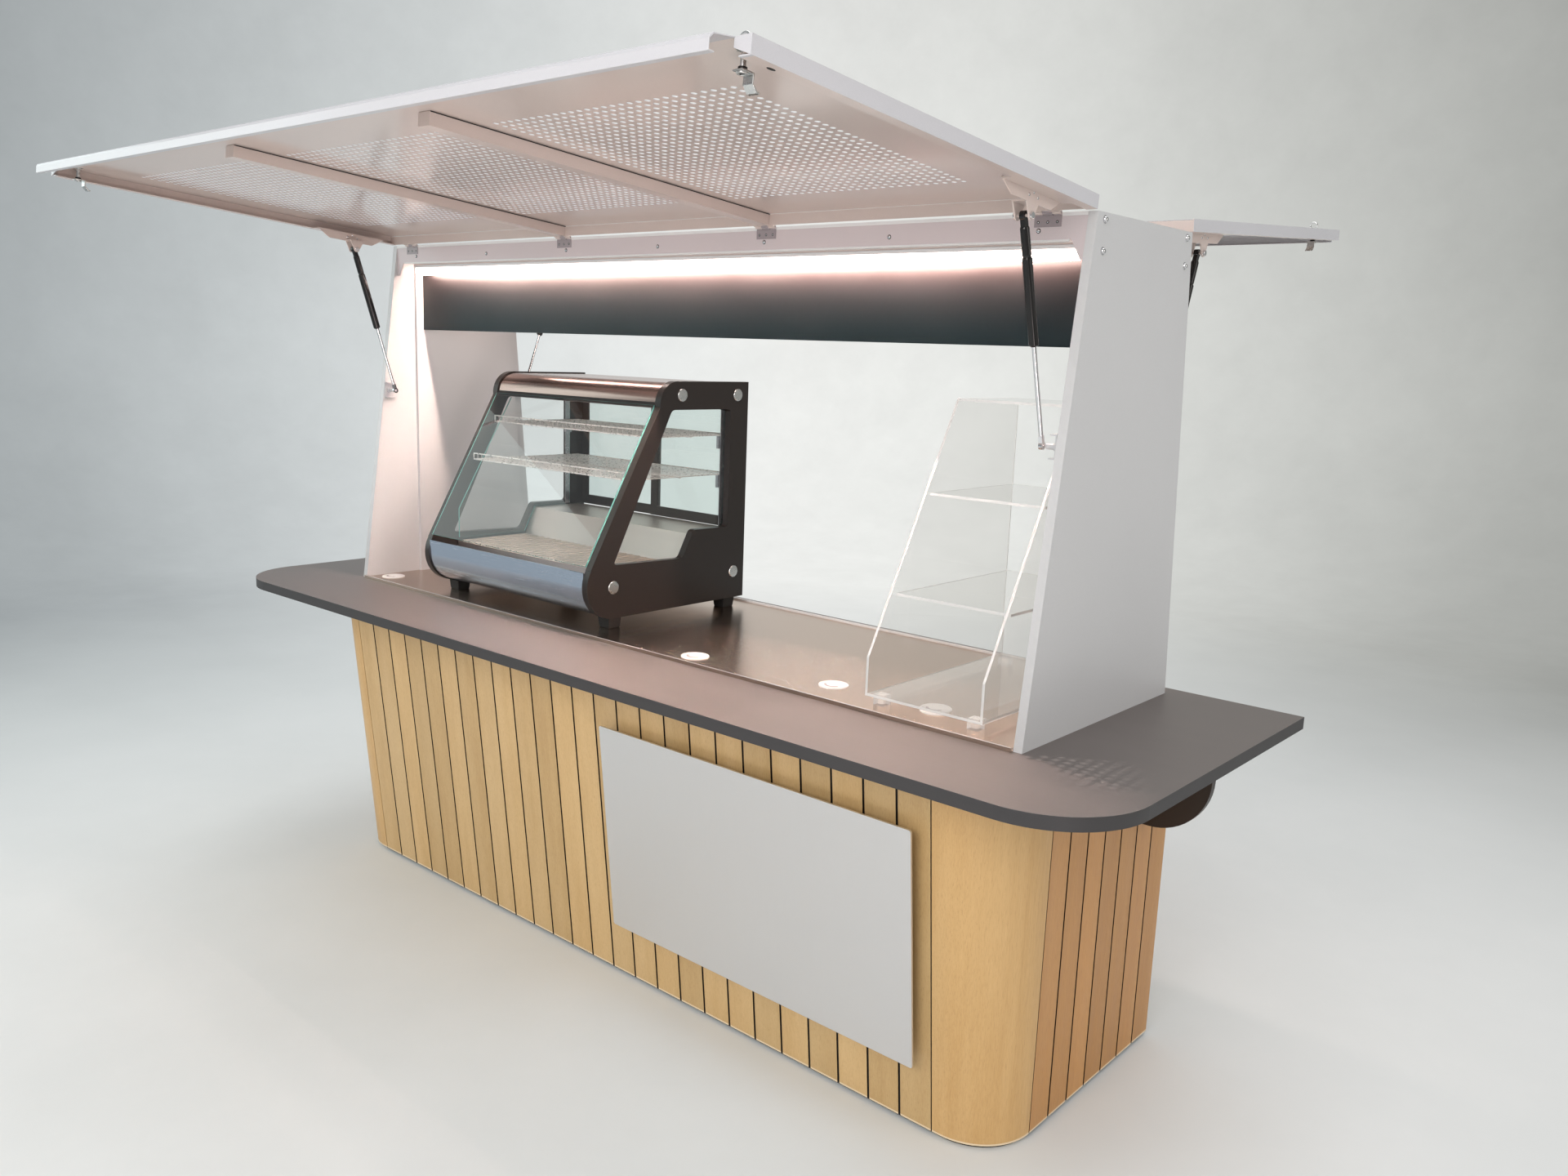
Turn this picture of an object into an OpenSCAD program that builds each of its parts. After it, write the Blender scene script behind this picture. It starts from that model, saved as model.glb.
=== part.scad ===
// Market stall: a board-clad counter with two lifting flaps, a display case and a clear stand.
// Millimetres, +Z up. The origin is on the floor in the middle of the base, and the front faces -Y.

/* [Base] */
// Height of the countertop's upper face above the floor
counter_h = 900; // [850:5:1000]
// Length of the base along X
base_len = 2490; // [2300:10:2700]
// Depth of the base at the floor
base_depth = 724; // [640:2:800]
// Angle by which the front face leans outwards towards the top
base_lean = 5.9; // [3:0.1:8]
// Thickness of the cladding walls
wall_t = 18; // [12:1:25]
// Boards between the two front corner pieces
front_boards = 25; // [20:1:30]
// Boards on each end
end_boards = 7; // [5:1:9]
// Boards on the rear
rear_boards = 28; // [20:1:34]
// Width of the groove between two boards
groove_w = 6; // [2:0.5:8]
// Depth of the groove between two boards
groove_d = 3; // [1:0.5:6]
// Reach of a rounded front corner piece along the front
corner_along = 158; // [140:2:200]
// Reach of a rounded front corner piece along the end, at the floor
corner_deep = 140; // [120:2:180]
// Height of the dark plinth under the boards
plinth_h = 10; // [6:1:40]
// Distance by which the plinth stands back from the boards
plinth_inset = 10; // [5:1:30]

/* [Counter] */
// Length of the countertop
counter_len = 3068; // [2900:2:3300]
// Reach of the countertop in front of the origin
counter_front = 625; // [560:5:700]
// Reach of the countertop behind the origin
counter_rear = 375; // [365:5:450]
// Thickness of the countertop
counter_t = 28; // [18:1:40]
// Radius of the countertop's two front corners
counter_r = 200; // [100:5:260]
// Reach of a support bracket under the overhanging end
bracket_out = 155; // [120:5:200]
// Height of a support bracket
bracket_h = 268; // [200:2:320]
// Thickness of a support bracket
bracket_t = 20; // [10:1:30]
// Distance of the support brackets behind the origin
bracket_y = 230; // [150:5:300]

/* [Sign board] */
// Length of the blank sign board
sign_w = 960; // [700:10:1200]
// Height of the sign board along the leaning front
sign_h = 558; // [400:2:600]
// Thickness of the sign board
sign_t = 5; // [3:1:10]
// Radius of the sign board's corners
sign_r = 6; // [2:1:40]
// Gap between the sign board and the boards behind it
sign_gap = 30; // [15:1:50]
// Distance of the sign board's middle from the stall's middle
sign_x = 580; // [400:5:600]
// Height of the sign board's lower edge along the leaning front
sign_low = 176; // [120:2:240]

/* [Worktop] */
// Thickness of the steel worktop
worktop_t = 4; // [2:0.5:6]
// Height of the worktop's rims above the countertop
rim_h = 9; // [6:1:16]
// Distance of the worktop's front rim in front of the origin
worktop_front = 350; // [343:1:380]
// Distance of the worktop's rear rim behind the origin
worktop_rear = 332; // [326:1:350]
// Diameter of a cable hole
cable_bore_d = 60; // [50:1:80]

/* [Side panels] */
// Height of the side panels above the countertop
panel_h = 1054; // [950:2:1150]
// Distance between the outer faces of the side panels
panel_span = 2450; // [2300:10:2480]
// Thickness of a side panel
panel_t = 20; // [15:1:30]
// Reach of a panel in front of the origin, at the countertop
panel_front_low = 341; // [300:1:345]
// Reach of a panel in front of the origin, at the roof
panel_front_top = 203; // [180:1:260]
// Reach of a panel behind the origin, at the countertop
panel_rear_low = 324; // [280:1:325]
// Reach of a panel behind the origin, at the roof
panel_rear_top = 235; // [200:1:280]
// Thickness of the lining on a panel's inner face
lining_t = 12; // [6:1:20]

/* [Roof] */
// Thickness of the roof panel
roof_t = 15; // [10:1:20]
// Height of the front and rear header rails
header_h = 51; // [40:1:70]
// Thickness of the header rails
header_t = 20; // [15:1:25]
// Height of the dark valance
valance_h = 242; // [200:2:300]
// Thickness of the dark valance
valance_t = 10; // [5:1:15]

/* [Flaps] */
// Upward tilt of the open front flap
front_tilt = 5.2; // [2:0.1:9]
// Upward tilt of the open rear flap
rear_tilt = 4.0; // [2:0.1:9]
// Length of the front flap's side rails
front_flap_len = 983; // [900:1:990]
// Length of the rear flap's side rails
rear_flap_len = 958; // [900:1:970]
// Depth of the rolled nose in front of the side rails
nose_len = 48; // [30:1:55]
// Height of a flap's side rails
flap_h = 27; // [20:1:40]
// Thickness of the flap's sheet metal
sheet_t = 2; // [1.5:0.5:4]
// Width of the flange under each side rail
flange_w = 24; // [15:1:35]
// Height of the flap's underside above its hinge line
flap_lift = 2; // [1:0.5:6]
// Openings of the coarse perforation across each of a flap's three fields
field_across = 4; // [2:1:4]
// Openings of the coarse perforation along a flap
field_along = 5; // [3:1:8]
// Diameter of an opening of the coarse perforation
field_bore_d = 74; // [40:2:90]
// Distance of each inner rib from the middle
rib_x = 373; // [300:1:420]
// Width of an inner rib
rib_w = 36; // [20:1:50]

/* [Gas struts] */
// Distance of the struts inside the side panels' outer faces
strut_in = 60; // [56:1:75]
// Distance of a strut's upper pivot from the hinge, along the flap
strut_reach = 166; // [140:1:200]
// Distance of a strut's upper pivot below the hinge line
strut_drop = 40; // [32:1:50]
// Height of a strut's lower pivot above the countertop
strut_low = 603; // [560:1:640]
// Distance of the lower pivot inside the panel's edge
strut_inset = 16; // [14:1:24]
// Diameter of a strut's cylinder
cylinder_d = 20; // [12:1:21]
// Length of a strut's cylinder
cylinder_len = 225; // [200:1:232]
// Diameter of a strut's rod
rod_d = 9; // [6:1:10]

/* [Display case] */
// Distance between the outer faces of the case's end panels
case_w = 766; // [700:2:900]
// Depth of the case
case_depth = 611; // [560:1:612]
// Height of the case above the worktop
case_h = 673; // [600:1:700]
// Height of the case's feet
case_foot_h = 30; // [20:1:40]
// Thickness of the end panels
case_end_t = 22; // [15:1:30]
// Distance of the case's front in front of the origin
case_front = 332; // [300:1:333]
// Distance of the case's middle left of the origin
case_x = 498; // [450:2:700]

/* [Clear stand] */
// Outer width of the stand
stand_w = 305; // [260:5:320]
// Outer depth of the stand
stand_depth = 566; // [500:2:568]
// Height of the stand
stand_h = 673; // [600:1:700]
// Thickness of the clear sheet
stand_t = 6; // [4:1:10]
// Distance of the stand's middle right of the origin
stand_x = 955; // [600:5:980]
// Distance of the stand's front in front of the origin
stand_front = 303; // [280:1:320]

/* [Hidden] */
eps = 1;
front_y = -base_depth / 2;
rear_y = base_depth / 2;
end_x = base_len / 2;
under_z = counter_h - counter_t;
boards_x = end_x - corner_along;
corner_y = front_y + corner_deep;
front_top_y = front_y - under_z * tan(base_lean);
worktop_z = counter_h + worktop_t;
roof_z = counter_h + panel_h;
panel_out = panel_span / 2;
panel_in = panel_out - panel_t;
lining_in = panel_in - lining_t;
strut_x = panel_out - strut_in;
header_low = roof_z - header_h;
ceiling_z = roof_z - roof_t;
case_gap = 0.3;

// Wood and corner pieces

function face_y(z) = front_y - z * tan(base_lean);
corner_steps = 14;
function corner_outline(z, inset) = concat(
    [[boards_x, corner_y], [boards_x, face_y(z) + inset]],
    [for (i = [0:corner_steps]) let (a = -90 + 90 * i / corner_steps)
        [end_x - corner_deep + (corner_deep - inset) * cos(a),
         corner_y + (corner_y - face_y(z) - inset) * sin(a)]]);

module along_x(length) {
    rotate([90, 0, 90]) translate([0, 0, -length / 2]) linear_extrude(length) children();
}

module leaning() {
    translate([0, front_y, 0]) rotate([base_lean, 0, 0]) children();
}

module corner_body(z0, z1, inset) {
    hull() {
        translate([0, 0, z0]) linear_extrude(0.01) polygon(corner_outline(z0, inset));
        translate([0, 0, z1 - 0.01]) linear_extrude(0.01) polygon(corner_outline(z1, inset));
    }
}

module right_corner() {
    color("burlywood") difference() {
        corner_body(plinth_h, under_z, 0);
        translate([-eps, eps, 0]) corner_body(plinth_h - eps, under_z + eps, wall_t);
    }
}

module left_corner() {
    mirror([1, 0, 0]) right_corner();
}

module front_cladding() {
    board = 2 * boards_x / front_boards;
    back = wall_t / cos(base_lean);
    color("burlywood") difference() {
        along_x(2 * boards_x) polygon([
            [face_y(plinth_h), plinth_h], [face_y(under_z), under_z],
            [face_y(under_z) + back, under_z], [face_y(plinth_h) + back, plinth_h]]);
        for (i = [0:front_boards])
            leaning() translate([-boards_x + i * board - groove_w / 2, -eps, 0])
                cube([groove_w, groove_d + eps, 2 * under_z]);
    }
}

module end_cladding() {
    board = (rear_y - corner_y) / end_boards;
    color("burlywood") difference() {
        translate([end_x - wall_t, corner_y, plinth_h]) cube([wall_t, rear_y - corner_y, under_z - plinth_h]);
        for (i = [0:end_boards - 1])
            translate([end_x - groove_d, corner_y + i * board - groove_w / 2, 0])
                cube([groove_d + eps, groove_w, under_z + eps]);
    }
}

module right_cladding() {
    end_cladding();
}

module left_cladding() {
    mirror([1, 0, 0]) end_cladding();
}

module rear_cladding() {
    half = end_x - wall_t;
    board = 2 * half / rear_boards;
    color("burlywood") difference() {
        translate([-half, rear_y - wall_t, plinth_h]) cube([2 * half, wall_t, under_z - plinth_h]);
        for (i = [1:rear_boards - 1])
            translate([-half + i * board - groove_w / 2, rear_y - groove_d, 0])
                cube([groove_w, groove_d + eps, under_z + eps]);
    }
}

module base_outline(inset) {
    square_half = end_x - corner_deep;
    translate([-end_x + inset, corner_y]) square([2 * (end_x - inset), rear_y - corner_y - inset]);
    translate([-square_half, front_y + inset]) square([2 * square_half, corner_deep]);
    for (side = [-1, 1]) translate([side * square_half, corner_y]) circle(r = corner_deep - inset, $fn = 96);
}

module plinth() {
    color("#2a211c") linear_extrude(plinth_h) base_outline(plinth_inset);
}

module overhang_bracket() {
    radius = bracket_out - 15;
    translate([end_x, bracket_y, under_z]) rotate([90, 0, 0]) translate([0, 0, -bracket_t / 2])
        linear_extrude(bracket_t) {
            translate([0, -bracket_h]) square([bracket_out - radius, bracket_h]);
            translate([0, -bracket_h + radius]) square([bracket_out, bracket_h - radius]);
            intersection() {
                translate([bracket_out - radius, -bracket_h + radius]) circle(r = radius, $fn = 96);
                translate([bracket_out - radius, -bracket_h]) square(radius);
            }
        }
}

module overhang_brackets() {
    color("#3a2b24") {
        overhang_bracket();
        mirror([1, 0, 0]) overhang_bracket();
    }
}

module rounded_plate(width, height, radius) {
    translate([radius, 0]) square([width - 2 * radius, height]);
    translate([0, radius]) square([width, height - 2 * radius]);
    for (x = [radius, width - radius], y = [radius, height - radius])
        translate([x, y]) circle(r = radius, $fn = 64);
}

module sign_board() {
    spacer_in = 70;
    color("silver") leaning() {
        translate([sign_x - sign_w / 2, -sign_gap, sign_low]) rotate([90, 0, 0])
            linear_extrude(sign_t) rounded_plate(sign_w, sign_h, sign_r);
        for (x = [sign_x - sign_w / 2 + spacer_in, sign_x + sign_w / 2 - spacer_in],
             z = [sign_low + spacer_in, sign_low + sign_h - spacer_in])
            translate([x, 0, z]) rotate([90, 0, 0]) cylinder(d = 16, h = sign_gap, $fn = 32);
    }
}

// Countertop and worktop

// Middles of the cable holes; the first keeps its distance from the left panel's lining
hole_in = 43;
cable_holes = [[hole_in - lining_in, -278], [250, -285], [658, -234], [943, -229]];

module countertop() {
    half = counter_len / 2;
    color("#4a4a4c") translate([0, 0, under_z]) linear_extrude(counter_t) difference() {
        union() {
            translate([-half, -counter_front + counter_r])
                square([counter_len, counter_front - counter_r + counter_rear]);
            translate([-half + counter_r, -counter_front]) square([counter_len - 2 * counter_r, counter_r]);
            for (side = [-1, 1])
                translate([side * (half - counter_r), -counter_front + counter_r]) circle(r = counter_r, $fn = 128);
        }
        for (at = cable_holes) translate(at) circle(d = cable_bore_d, $fn = 48);
    }
}

module worktop() {
    half = panel_in - case_gap;
    rim_t = 8;
    color("lightsteelblue") translate([0, 0, counter_h]) {
        linear_extrude(worktop_t) difference() {
            translate([-half, -worktop_front]) square([2 * half, worktop_front + worktop_rear]);
            for (at = cable_holes) translate(at) circle(d = cable_bore_d, $fn = 48);
        }
        for (y = [-worktop_front, worktop_rear - rim_t]) translate([-half, y, 0]) cube([2 * half, rim_t, rim_h]);
    }
}

module cable_grommets() {
    flange_t = 3;
    color("ivory") for (at = cable_holes) translate([at[0], at[1], worktop_z]) {
        cylinder(d = cable_bore_d + 12, h = flange_t, $fn = 48);
        translate([0, 0, -20]) cylinder(d = cable_bore_d - 1, h = 20, $fn = 48);
    }
}

// Side panels and roof

function edge_front(z) = -panel_front_low + (panel_front_low - panel_front_top) * (z - counter_h) / panel_h;
function edge_rear(z) = panel_rear_low - (panel_rear_low - panel_rear_top) * (z - counter_h) / panel_h;
lining_front = -145;
lining_margin = 2 * strut_inset + 2;

module side_panel() {
    lining_low = worktop_z + case_gap;
    lining_top = ceiling_z - case_gap;
    color("whitesmoke") {
        translate([panel_in, 0, 0]) rotate([90, 0, 90]) linear_extrude(panel_t) polygon([
            [edge_front(counter_h), counter_h], [edge_rear(counter_h), counter_h],
            [edge_rear(roof_z), roof_z], [edge_front(roof_z), roof_z]]);
        translate([lining_in, 0, 0]) rotate([90, 0, 90]) linear_extrude(lining_t) polygon([
            [lining_front, lining_low], [edge_rear(lining_low) - lining_margin, lining_low],
            [edge_rear(lining_top) - lining_margin, lining_top], [lining_front, lining_top]]);
    }
}

module right_panel() {
    side_panel();
}

module left_panel() {
    mirror([1, 0, 0]) side_panel();
}

module roof_panel() {
    color("white") translate([-panel_in, -panel_front_top + header_t, ceiling_z])
        cube([2 * panel_in, panel_front_top + panel_rear_top - 2 * header_t, roof_t]);
}

// Header rail with a tapered tab below each end, which screws to the side panel
module header_rail() {
    tab_w = 34;
    tab_h = 40;
    tab_t = 3;
    translate([-panel_in, 0, header_low]) cube([2 * panel_in, header_t, header_h]);
    for (side = [0, 1]) mirror([side, 0, 0])
        translate([panel_in, 0, header_low]) rotate([90, 0, 0]) mirror([1, 0, 0]) translate([0, 0, -tab_t])
            linear_extrude(tab_t) polygon([[0, 0], [tab_w, 0], [tab_w / 3, -tab_h], [0, -tab_h]]);
}

module front_header() {
    color("lavender") translate([0, -panel_front_top, 0]) header_rail();
}

module rear_header() {
    color("lavender") translate([0, panel_rear_top, 0]) mirror([0, 1, 0]) header_rail();
}

led_y = -152;
led_half = lining_in - 28;
led_d = 24;
led_drop = 88;
housing_drop = 64;
led_low = roof_z - led_drop;
housing_low = roof_z - housing_drop;

module led_housing() {
    color("silver") translate([-led_half - 4, led_y - led_d / 2 - 3, housing_low])
        cube([2 * led_half + 8, led_d + 6, ceiling_z - housing_low]);
}

module led_diffuser() {
    color("white") along_x(2 * led_half) {
        translate([led_y, led_low + led_d / 2]) circle(d = led_d, $fn = 48);
        translate([led_y - led_d / 2, led_low + led_d / 2]) square([led_d, housing_low - led_low - led_d / 2]);
    }
}

module valance() {
    color("#2b2c2e") translate([-lining_in, lining_front + 25, ceiling_z - valance_h])
        cube([2 * lining_in, valance_t, valance_h]);
}

nose_inset = 32;

// Flaps: modelled lying level with the hinge line on X, reaching towards -Y, then tilted

hinge_out = 4;
front_hinge_y = -panel_front_top - hinge_out;
rear_hinge_y = panel_rear_top + hinge_out;
outer_hinge_x = panel_out - 107;
hinge_xs = [-outer_hinge_x, -rib_x, rib_x, outer_hinge_x];
leaf_w = 60;
knuckle_w = 22;
knuckle_d = 7;
hinge_pin_d = 4;
rear_wall = 7;

module at_front_hinge() {
    translate([0, front_hinge_y, roof_z]) rotate([-front_tilt, 0, 0]) children();
}

module at_rear_hinge() {
    translate([0, rear_hinge_y, roof_z]) mirror([0, 1, 0]) rotate([-rear_tilt, 0, 0]) children();
}

// Fixed half of the hinges: a leaf on the header, a middle knuckle and the pin
module fixed_hinges() {
    leaf_h = 22;
    leaf_t = 1.5;
    for (x = hinge_xs) translate([x, 0, 0]) {
        translate([-leaf_w / 2, hinge_out - leaf_t, -leaf_h - 5]) cube([leaf_w, leaf_t, leaf_h]);
        translate([-knuckle_w / 2, 0, -6]) cube([knuckle_w, hinge_out, 6]);
        translate([-knuckle_w / 2, 0, 0]) rotate([0, 90, 0]) cylinder(d = knuckle_d, h = knuckle_w, $fn = 32);
        translate([-leaf_w / 2, 0, 0]) rotate([0, 90, 0]) cylinder(d = hinge_pin_d, h = leaf_w, $fn = 32);
    }
}

module front_hinges() {
    color("silver") translate([0, front_hinge_y, roof_z]) fixed_hinges();
}

module rear_hinges() {
    color("silver") translate([0, rear_hinge_y, roof_z]) mirror([0, 1, 0]) fixed_hinges();
}

// Moving half of the hinges: two knuckles round the pin, joined to the flap's rear wall
module moving_hinge() {
    side_gap = 0.5;
    side_w = (leaf_w - knuckle_w) / 2 - side_gap;
    difference() {
        for (x = [-leaf_w / 2, knuckle_w / 2 + side_gap]) translate([x, 0, 0]) {
            rotate([0, 90, 0]) cylinder(d = knuckle_d, h = side_w, $fn = 32);
            translate([0, -rear_wall - 1, 0]) cube([side_w, rear_wall + 1, knuckle_d / 2]);
        }
        translate([-leaf_w, 0, 0]) rotate([0, 90, 0]) cylinder(d = hinge_pin_d + 0.6, h = 2 * leaf_w, $fn = 32);
    }
}

// Edges of the perforated fields: distances from the two side rails, then from the two ribs' middles
field_rail = [125, 185];
field_rib = [112, 38, 93, 52];
field_edges = [[-panel_out + field_rail[0], -rib_x - field_rib[0]],
    [-rib_x + field_rib[1], rib_x - field_rib[2]],
    [rib_x + field_rib[3], panel_out - field_rail[1]]];
field_margin = 160;

// The fine perforation of the real sheet is drawn as a coarse plain grid
module field_openings(flap_len) {
    pitch_y = (flap_len - 2 * field_margin) / field_along;
    for (edges = field_edges, i = [0:field_across - 1], j = [0:field_along - 1])
        let (pitch_x = (edges[1] - edges[0]) / field_across)
            translate([edges[0] + (i + 0.5) * pitch_x, -field_margin - (j + 0.5) * pitch_y, 0])
                cylinder(d = field_bore_d, h = flap_lift + flap_h + eps, $fn = 12);
}

module flap_sheet(flap_len) {
    top = flap_lift + flap_h;
    half = panel_out - sheet_t - case_gap;
    nose_half = panel_out - nose_inset - case_gap;
    nose_top = top - 7;
    nose_low = flap_lift - 4;
    color("mistyrose") {
        difference() {
            translate([-half, -flap_len, top - sheet_t]) cube([2 * half, flap_len - rear_wall, sheet_t]);
            field_openings(flap_len);
        }
        along_x(2 * nose_half) polygon([
            [-flap_len, top], [-flap_len - nose_len + 8, nose_top + 1], [-flap_len - nose_len + 2, nose_top - 3],
            [-flap_len - nose_len, nose_top - 8], [-flap_len - nose_len, nose_low],
            [-flap_len - nose_len + 12, nose_low], [-flap_len - nose_len + 12, nose_low + sheet_t],
            [-flap_len - nose_len + sheet_t, nose_low + sheet_t], [-flap_len - nose_len + sheet_t, nose_top - 9],
            [-flap_len - nose_len + 9, nose_top + 1 - sheet_t], [-flap_len, top - sheet_t]]);
    }
}

module flap_rail(flap_len) {
    low = flap_lift;
    translate([panel_out - sheet_t, -flap_len, low]) cube([sheet_t, flap_len, flap_h]);
    translate([panel_out - flange_w, -flap_len, low]) cube([flange_w, flap_len, sheet_t]);
    translate([panel_out, -flap_len, low]) rotate([90, 0, 0]) mirror([1, 0, 0])
        linear_extrude(sheet_t) polygon([[0, 0], [0, flap_h], [nose_inset, flap_h - sheet_t], [nose_inset, 12]]);
}

// One prong of the fork that holds a strut's upper eye
gusset_low = 18;
prong_half = 22;

module strut_prong(prong_t) {
    eye_r = 9;
    rotate([90, 0, 90]) linear_extrude(prong_t) {
        polygon([[-strut_reach + prong_half, -gusset_low + 2], [-strut_reach - prong_half, -gusset_low + 2],
            [-strut_reach - eye_r, -strut_drop], [-strut_reach + eye_r, -strut_drop]]);
        translate([-strut_reach, -strut_drop]) circle(r = eye_r, $fn = 48);
    }
}

// Plate that carries a gas strut's upper end, with the fork and its bolt
module strut_gusset() {
    plate_t = 3;
    fork = cylinder_d / 2 + 3;
    head_h = 4;
    plate_x = strut_x + fork;
    near = strut_reach - 106;
    far = strut_reach + 114;
    translate([plate_x, 0, 0]) rotate([90, 0, 90]) linear_extrude(plate_t)
        polygon([[-near, flap_lift + 4], [-far, flap_lift + 4], [-far + 40, -gusset_low],
            [-near - 40, -gusset_low]]);
    translate([plate_x, -far, flap_lift]) cube([panel_out - plate_x, far - near, sheet_t]);
    translate([plate_x, 0, 0]) strut_prong(plate_t);
    translate([strut_x - fork - plate_t, 0, 0]) strut_prong(plate_t);
    translate([strut_x - fork - plate_t, -strut_reach - prong_half, -gusset_low])
        cube([2 * (fork + plate_t), 2 * prong_half, plate_t]);
    translate([strut_x - fork - plate_t - head_h, -strut_reach, -strut_drop]) rotate([0, 90, 0]) {
        cylinder(d = 6, h = 2 * (fork + plate_t + head_h), $fn = 32);
        cylinder(d = 13, h = head_h, $fn = 32);
        translate([0, 0, 2 * (fork + plate_t) + head_h]) cylinder(d = 13, h = head_h, $fn = 32);
    }
}

module flap_frame(flap_len) {
    inner_top = flap_lift + flap_h - sheet_t;
    rib_end = -flap_len + 62;
    color("linen") {
        for (side = [0, 1]) mirror([side, 0, 0]) {
            flap_rail(flap_len);
            strut_gusset();
        }
        for (x = [-rib_x, rib_x]) translate([x - rib_w / 2, 0, flap_lift]) difference() {
            translate([0, rib_end, 0]) cube([rib_w, -rear_wall - rib_end, inner_top - flap_lift]);
            translate([sheet_t, rib_end + sheet_t, sheet_t]) cube([rib_w - 2 * sheet_t, flap_len, flap_h]);
        }
        translate([-panel_out + sheet_t, -rear_wall - sheet_t, flap_lift])
            cube([2 * (panel_out - sheet_t), sheet_t, inner_top - flap_lift]);
        for (x = hinge_xs) translate([x, 0, 0]) moving_hinge();
    }
}

// Turn latch at a free corner: ring on top, spindle, and hook below
module flap_latches(flap_len) {
    top = flap_lift + flap_h;
    base_h = 3;
    ring_r = 9;
    wire_r = 2;
    hook_low = -26;
    hook_w = 14;
    hook_t = 3;
    hook_reach = 34;
    color("gray") for (side = [-1, 1]) translate([side * (panel_out - 55), -flap_len + 42, 0]) {
        translate([0, 0, top]) cylinder(d = 22, h = base_h, $fn = 32);
        translate([0, 0, top + base_h + ring_r]) rotate([90, 0, 0])
            rotate_extrude($fn = 32) translate([ring_r, 0]) circle(r = wire_r, $fn = 16);
        translate([0, 0, hook_low + 2]) cylinder(d = 9, h = top - sheet_t - hook_low - 2, $fn = 32);
        translate([-hook_w / 2, -hook_w / 2, hook_low]) cube([hook_w, hook_reach, hook_t]);
        translate([-hook_w / 2, hook_reach - hook_w / 2 - hook_t, hook_low]) cube([hook_w, hook_t, hook_w]);
    }
}

module front_flap_sheet() {
    at_front_hinge() flap_sheet(front_flap_len);
}

module front_flap_frame() {
    at_front_hinge() flap_frame(front_flap_len);
}

module front_flap_latches() {
    at_front_hinge() flap_latches(front_flap_len);
}

module rear_flap_sheet() {
    at_rear_hinge() flap_sheet(rear_flap_len);
}

module rear_flap_frame() {
    at_rear_hinge() flap_frame(rear_flap_len);
}

module rear_flap_latches() {
    at_rear_hinge() flap_latches(rear_flap_len);
}

// Gas struts: the upper pivot follows the flap, the lower one sits on the side panel

function upper_pivot(hinge_y, tilt, way) = [
    hinge_y + way * (strut_reach * cos(tilt) + strut_drop * sin(tilt)),
    roof_z + strut_reach * sin(tilt) - strut_drop * cos(tilt)];
strut_low_z = counter_h + strut_low;
front_upper = upper_pivot(front_hinge_y, front_tilt, -1);
rear_upper = upper_pivot(rear_hinge_y, rear_tilt, 1);
front_lower = [edge_front(strut_low_z) + strut_inset, strut_low_z];
rear_lower = [edge_rear(strut_low_z) - strut_inset, strut_low_z];

// Children point down along a strut, from its upper pivot towards its lower one
module along_strut(upper, lower) {
    run = lower - upper;
    translate([0, upper[0], upper[1]]) rotate([atan2(run[1], run[0]) + 90, 0, 0]) children();
}

// Half section of a strut's cylinder, with its waist below the head and a rolled lower end
function cylinder_profile() =
    let (r = cylinder_d / 2, top = -head_len, waist = top - 55, end = top - cylinder_len)
    [[0, top], [r - 2, top], [r - 1, top - 3], [r - 1, waist + 4], [r - 2, waist], [r, waist - 4],
        [r, end + 3], [r - 3, end], [0, end]];

head_len = 20;
rod_eye_t = 8;

// Flat eye of a strut, bored along X, with a neck that points along Z towards the strut's body
module strut_eye(eye_d, eye_t, bore_d, neck_w, neck_from, neck_len) {
    difference() {
        union() {
            translate([-eye_t / 2, 0, 0]) rotate([0, 90, 0]) cylinder(d = eye_d, h = eye_t, $fn = 48);
            translate([-eye_t / 2, -neck_w / 2, neck_from]) cube([eye_t, neck_w, neck_len]);
        }
        translate([-eye_t / 2 - eps, 0, 0]) rotate([0, 90, 0])
            cylinder(d = bore_d, h = eye_t + 2 * eps, $fn = 32);
    }
}

module strut_cylinder(side, upper, lower) {
    floor_t = 12;
    color("#1c1c1e") translate([side * strut_x, 0, 0]) along_strut(upper, lower) {
        strut_eye(18, 10, 6.6, 12, -head_len - 2, head_len + 2);
        difference() {
            rotate_extrude($fn = 64) polygon(cylinder_profile());
            translate([0, 0, -head_len - cylinder_len - eps])
                cylinder(d = rod_d + 1, h = cylinder_len + eps - floor_t, $fn = 32);
        }
    }
}

module strut_rod(side, upper, lower) {
    reach = norm(lower - upper);
    rod_in = 26;
    rod_top = head_len + cylinder_len - rod_in;
    rod_low = reach - 8;
    color("silver") translate([side * strut_x, 0, 0]) along_strut(upper, lower) {
        translate([0, 0, -rod_low]) cylinder(d = rod_d, h = rod_low - rod_top, $fn = 32);
        translate([0, 0, -reach]) strut_eye(16, rod_eye_t, 8, 10, 0, 20);
    }
}

// Channel on the side panel, with the stud that the rod's eye turns on
module lower_bracket(lower) {
    gap = 8;
    plate_t = 3;
    plate_h = 50;
    half_w = strut_inset - 1;
    lip = 16;
    nut_h = 7;
    stud_x = strut_x + rod_eye_t / 2 + gap;
    stud_len = panel_in - stud_x - plate_t;
    translate([stud_x, lower[0], lower[1]]) rotate([0, 90, 0]) {
        cylinder(d = 12, h = stud_len, $fn = 32);
        translate([0, 0, stud_len - nut_h]) cylinder(d = 20, h = nut_h, $fn = 6);
    }
    translate([panel_in - plate_t, lower[0] - half_w, lower[1] - plate_h / 2])
        cube([plate_t, 2 * half_w, plate_h]);
    for (z = [-plate_h / 2, plate_h / 2 - plate_t])
        translate([panel_in - lip, lower[0] - half_w, lower[1] + z]) cube([lip, 2 * half_w, plate_t]);
}

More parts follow.
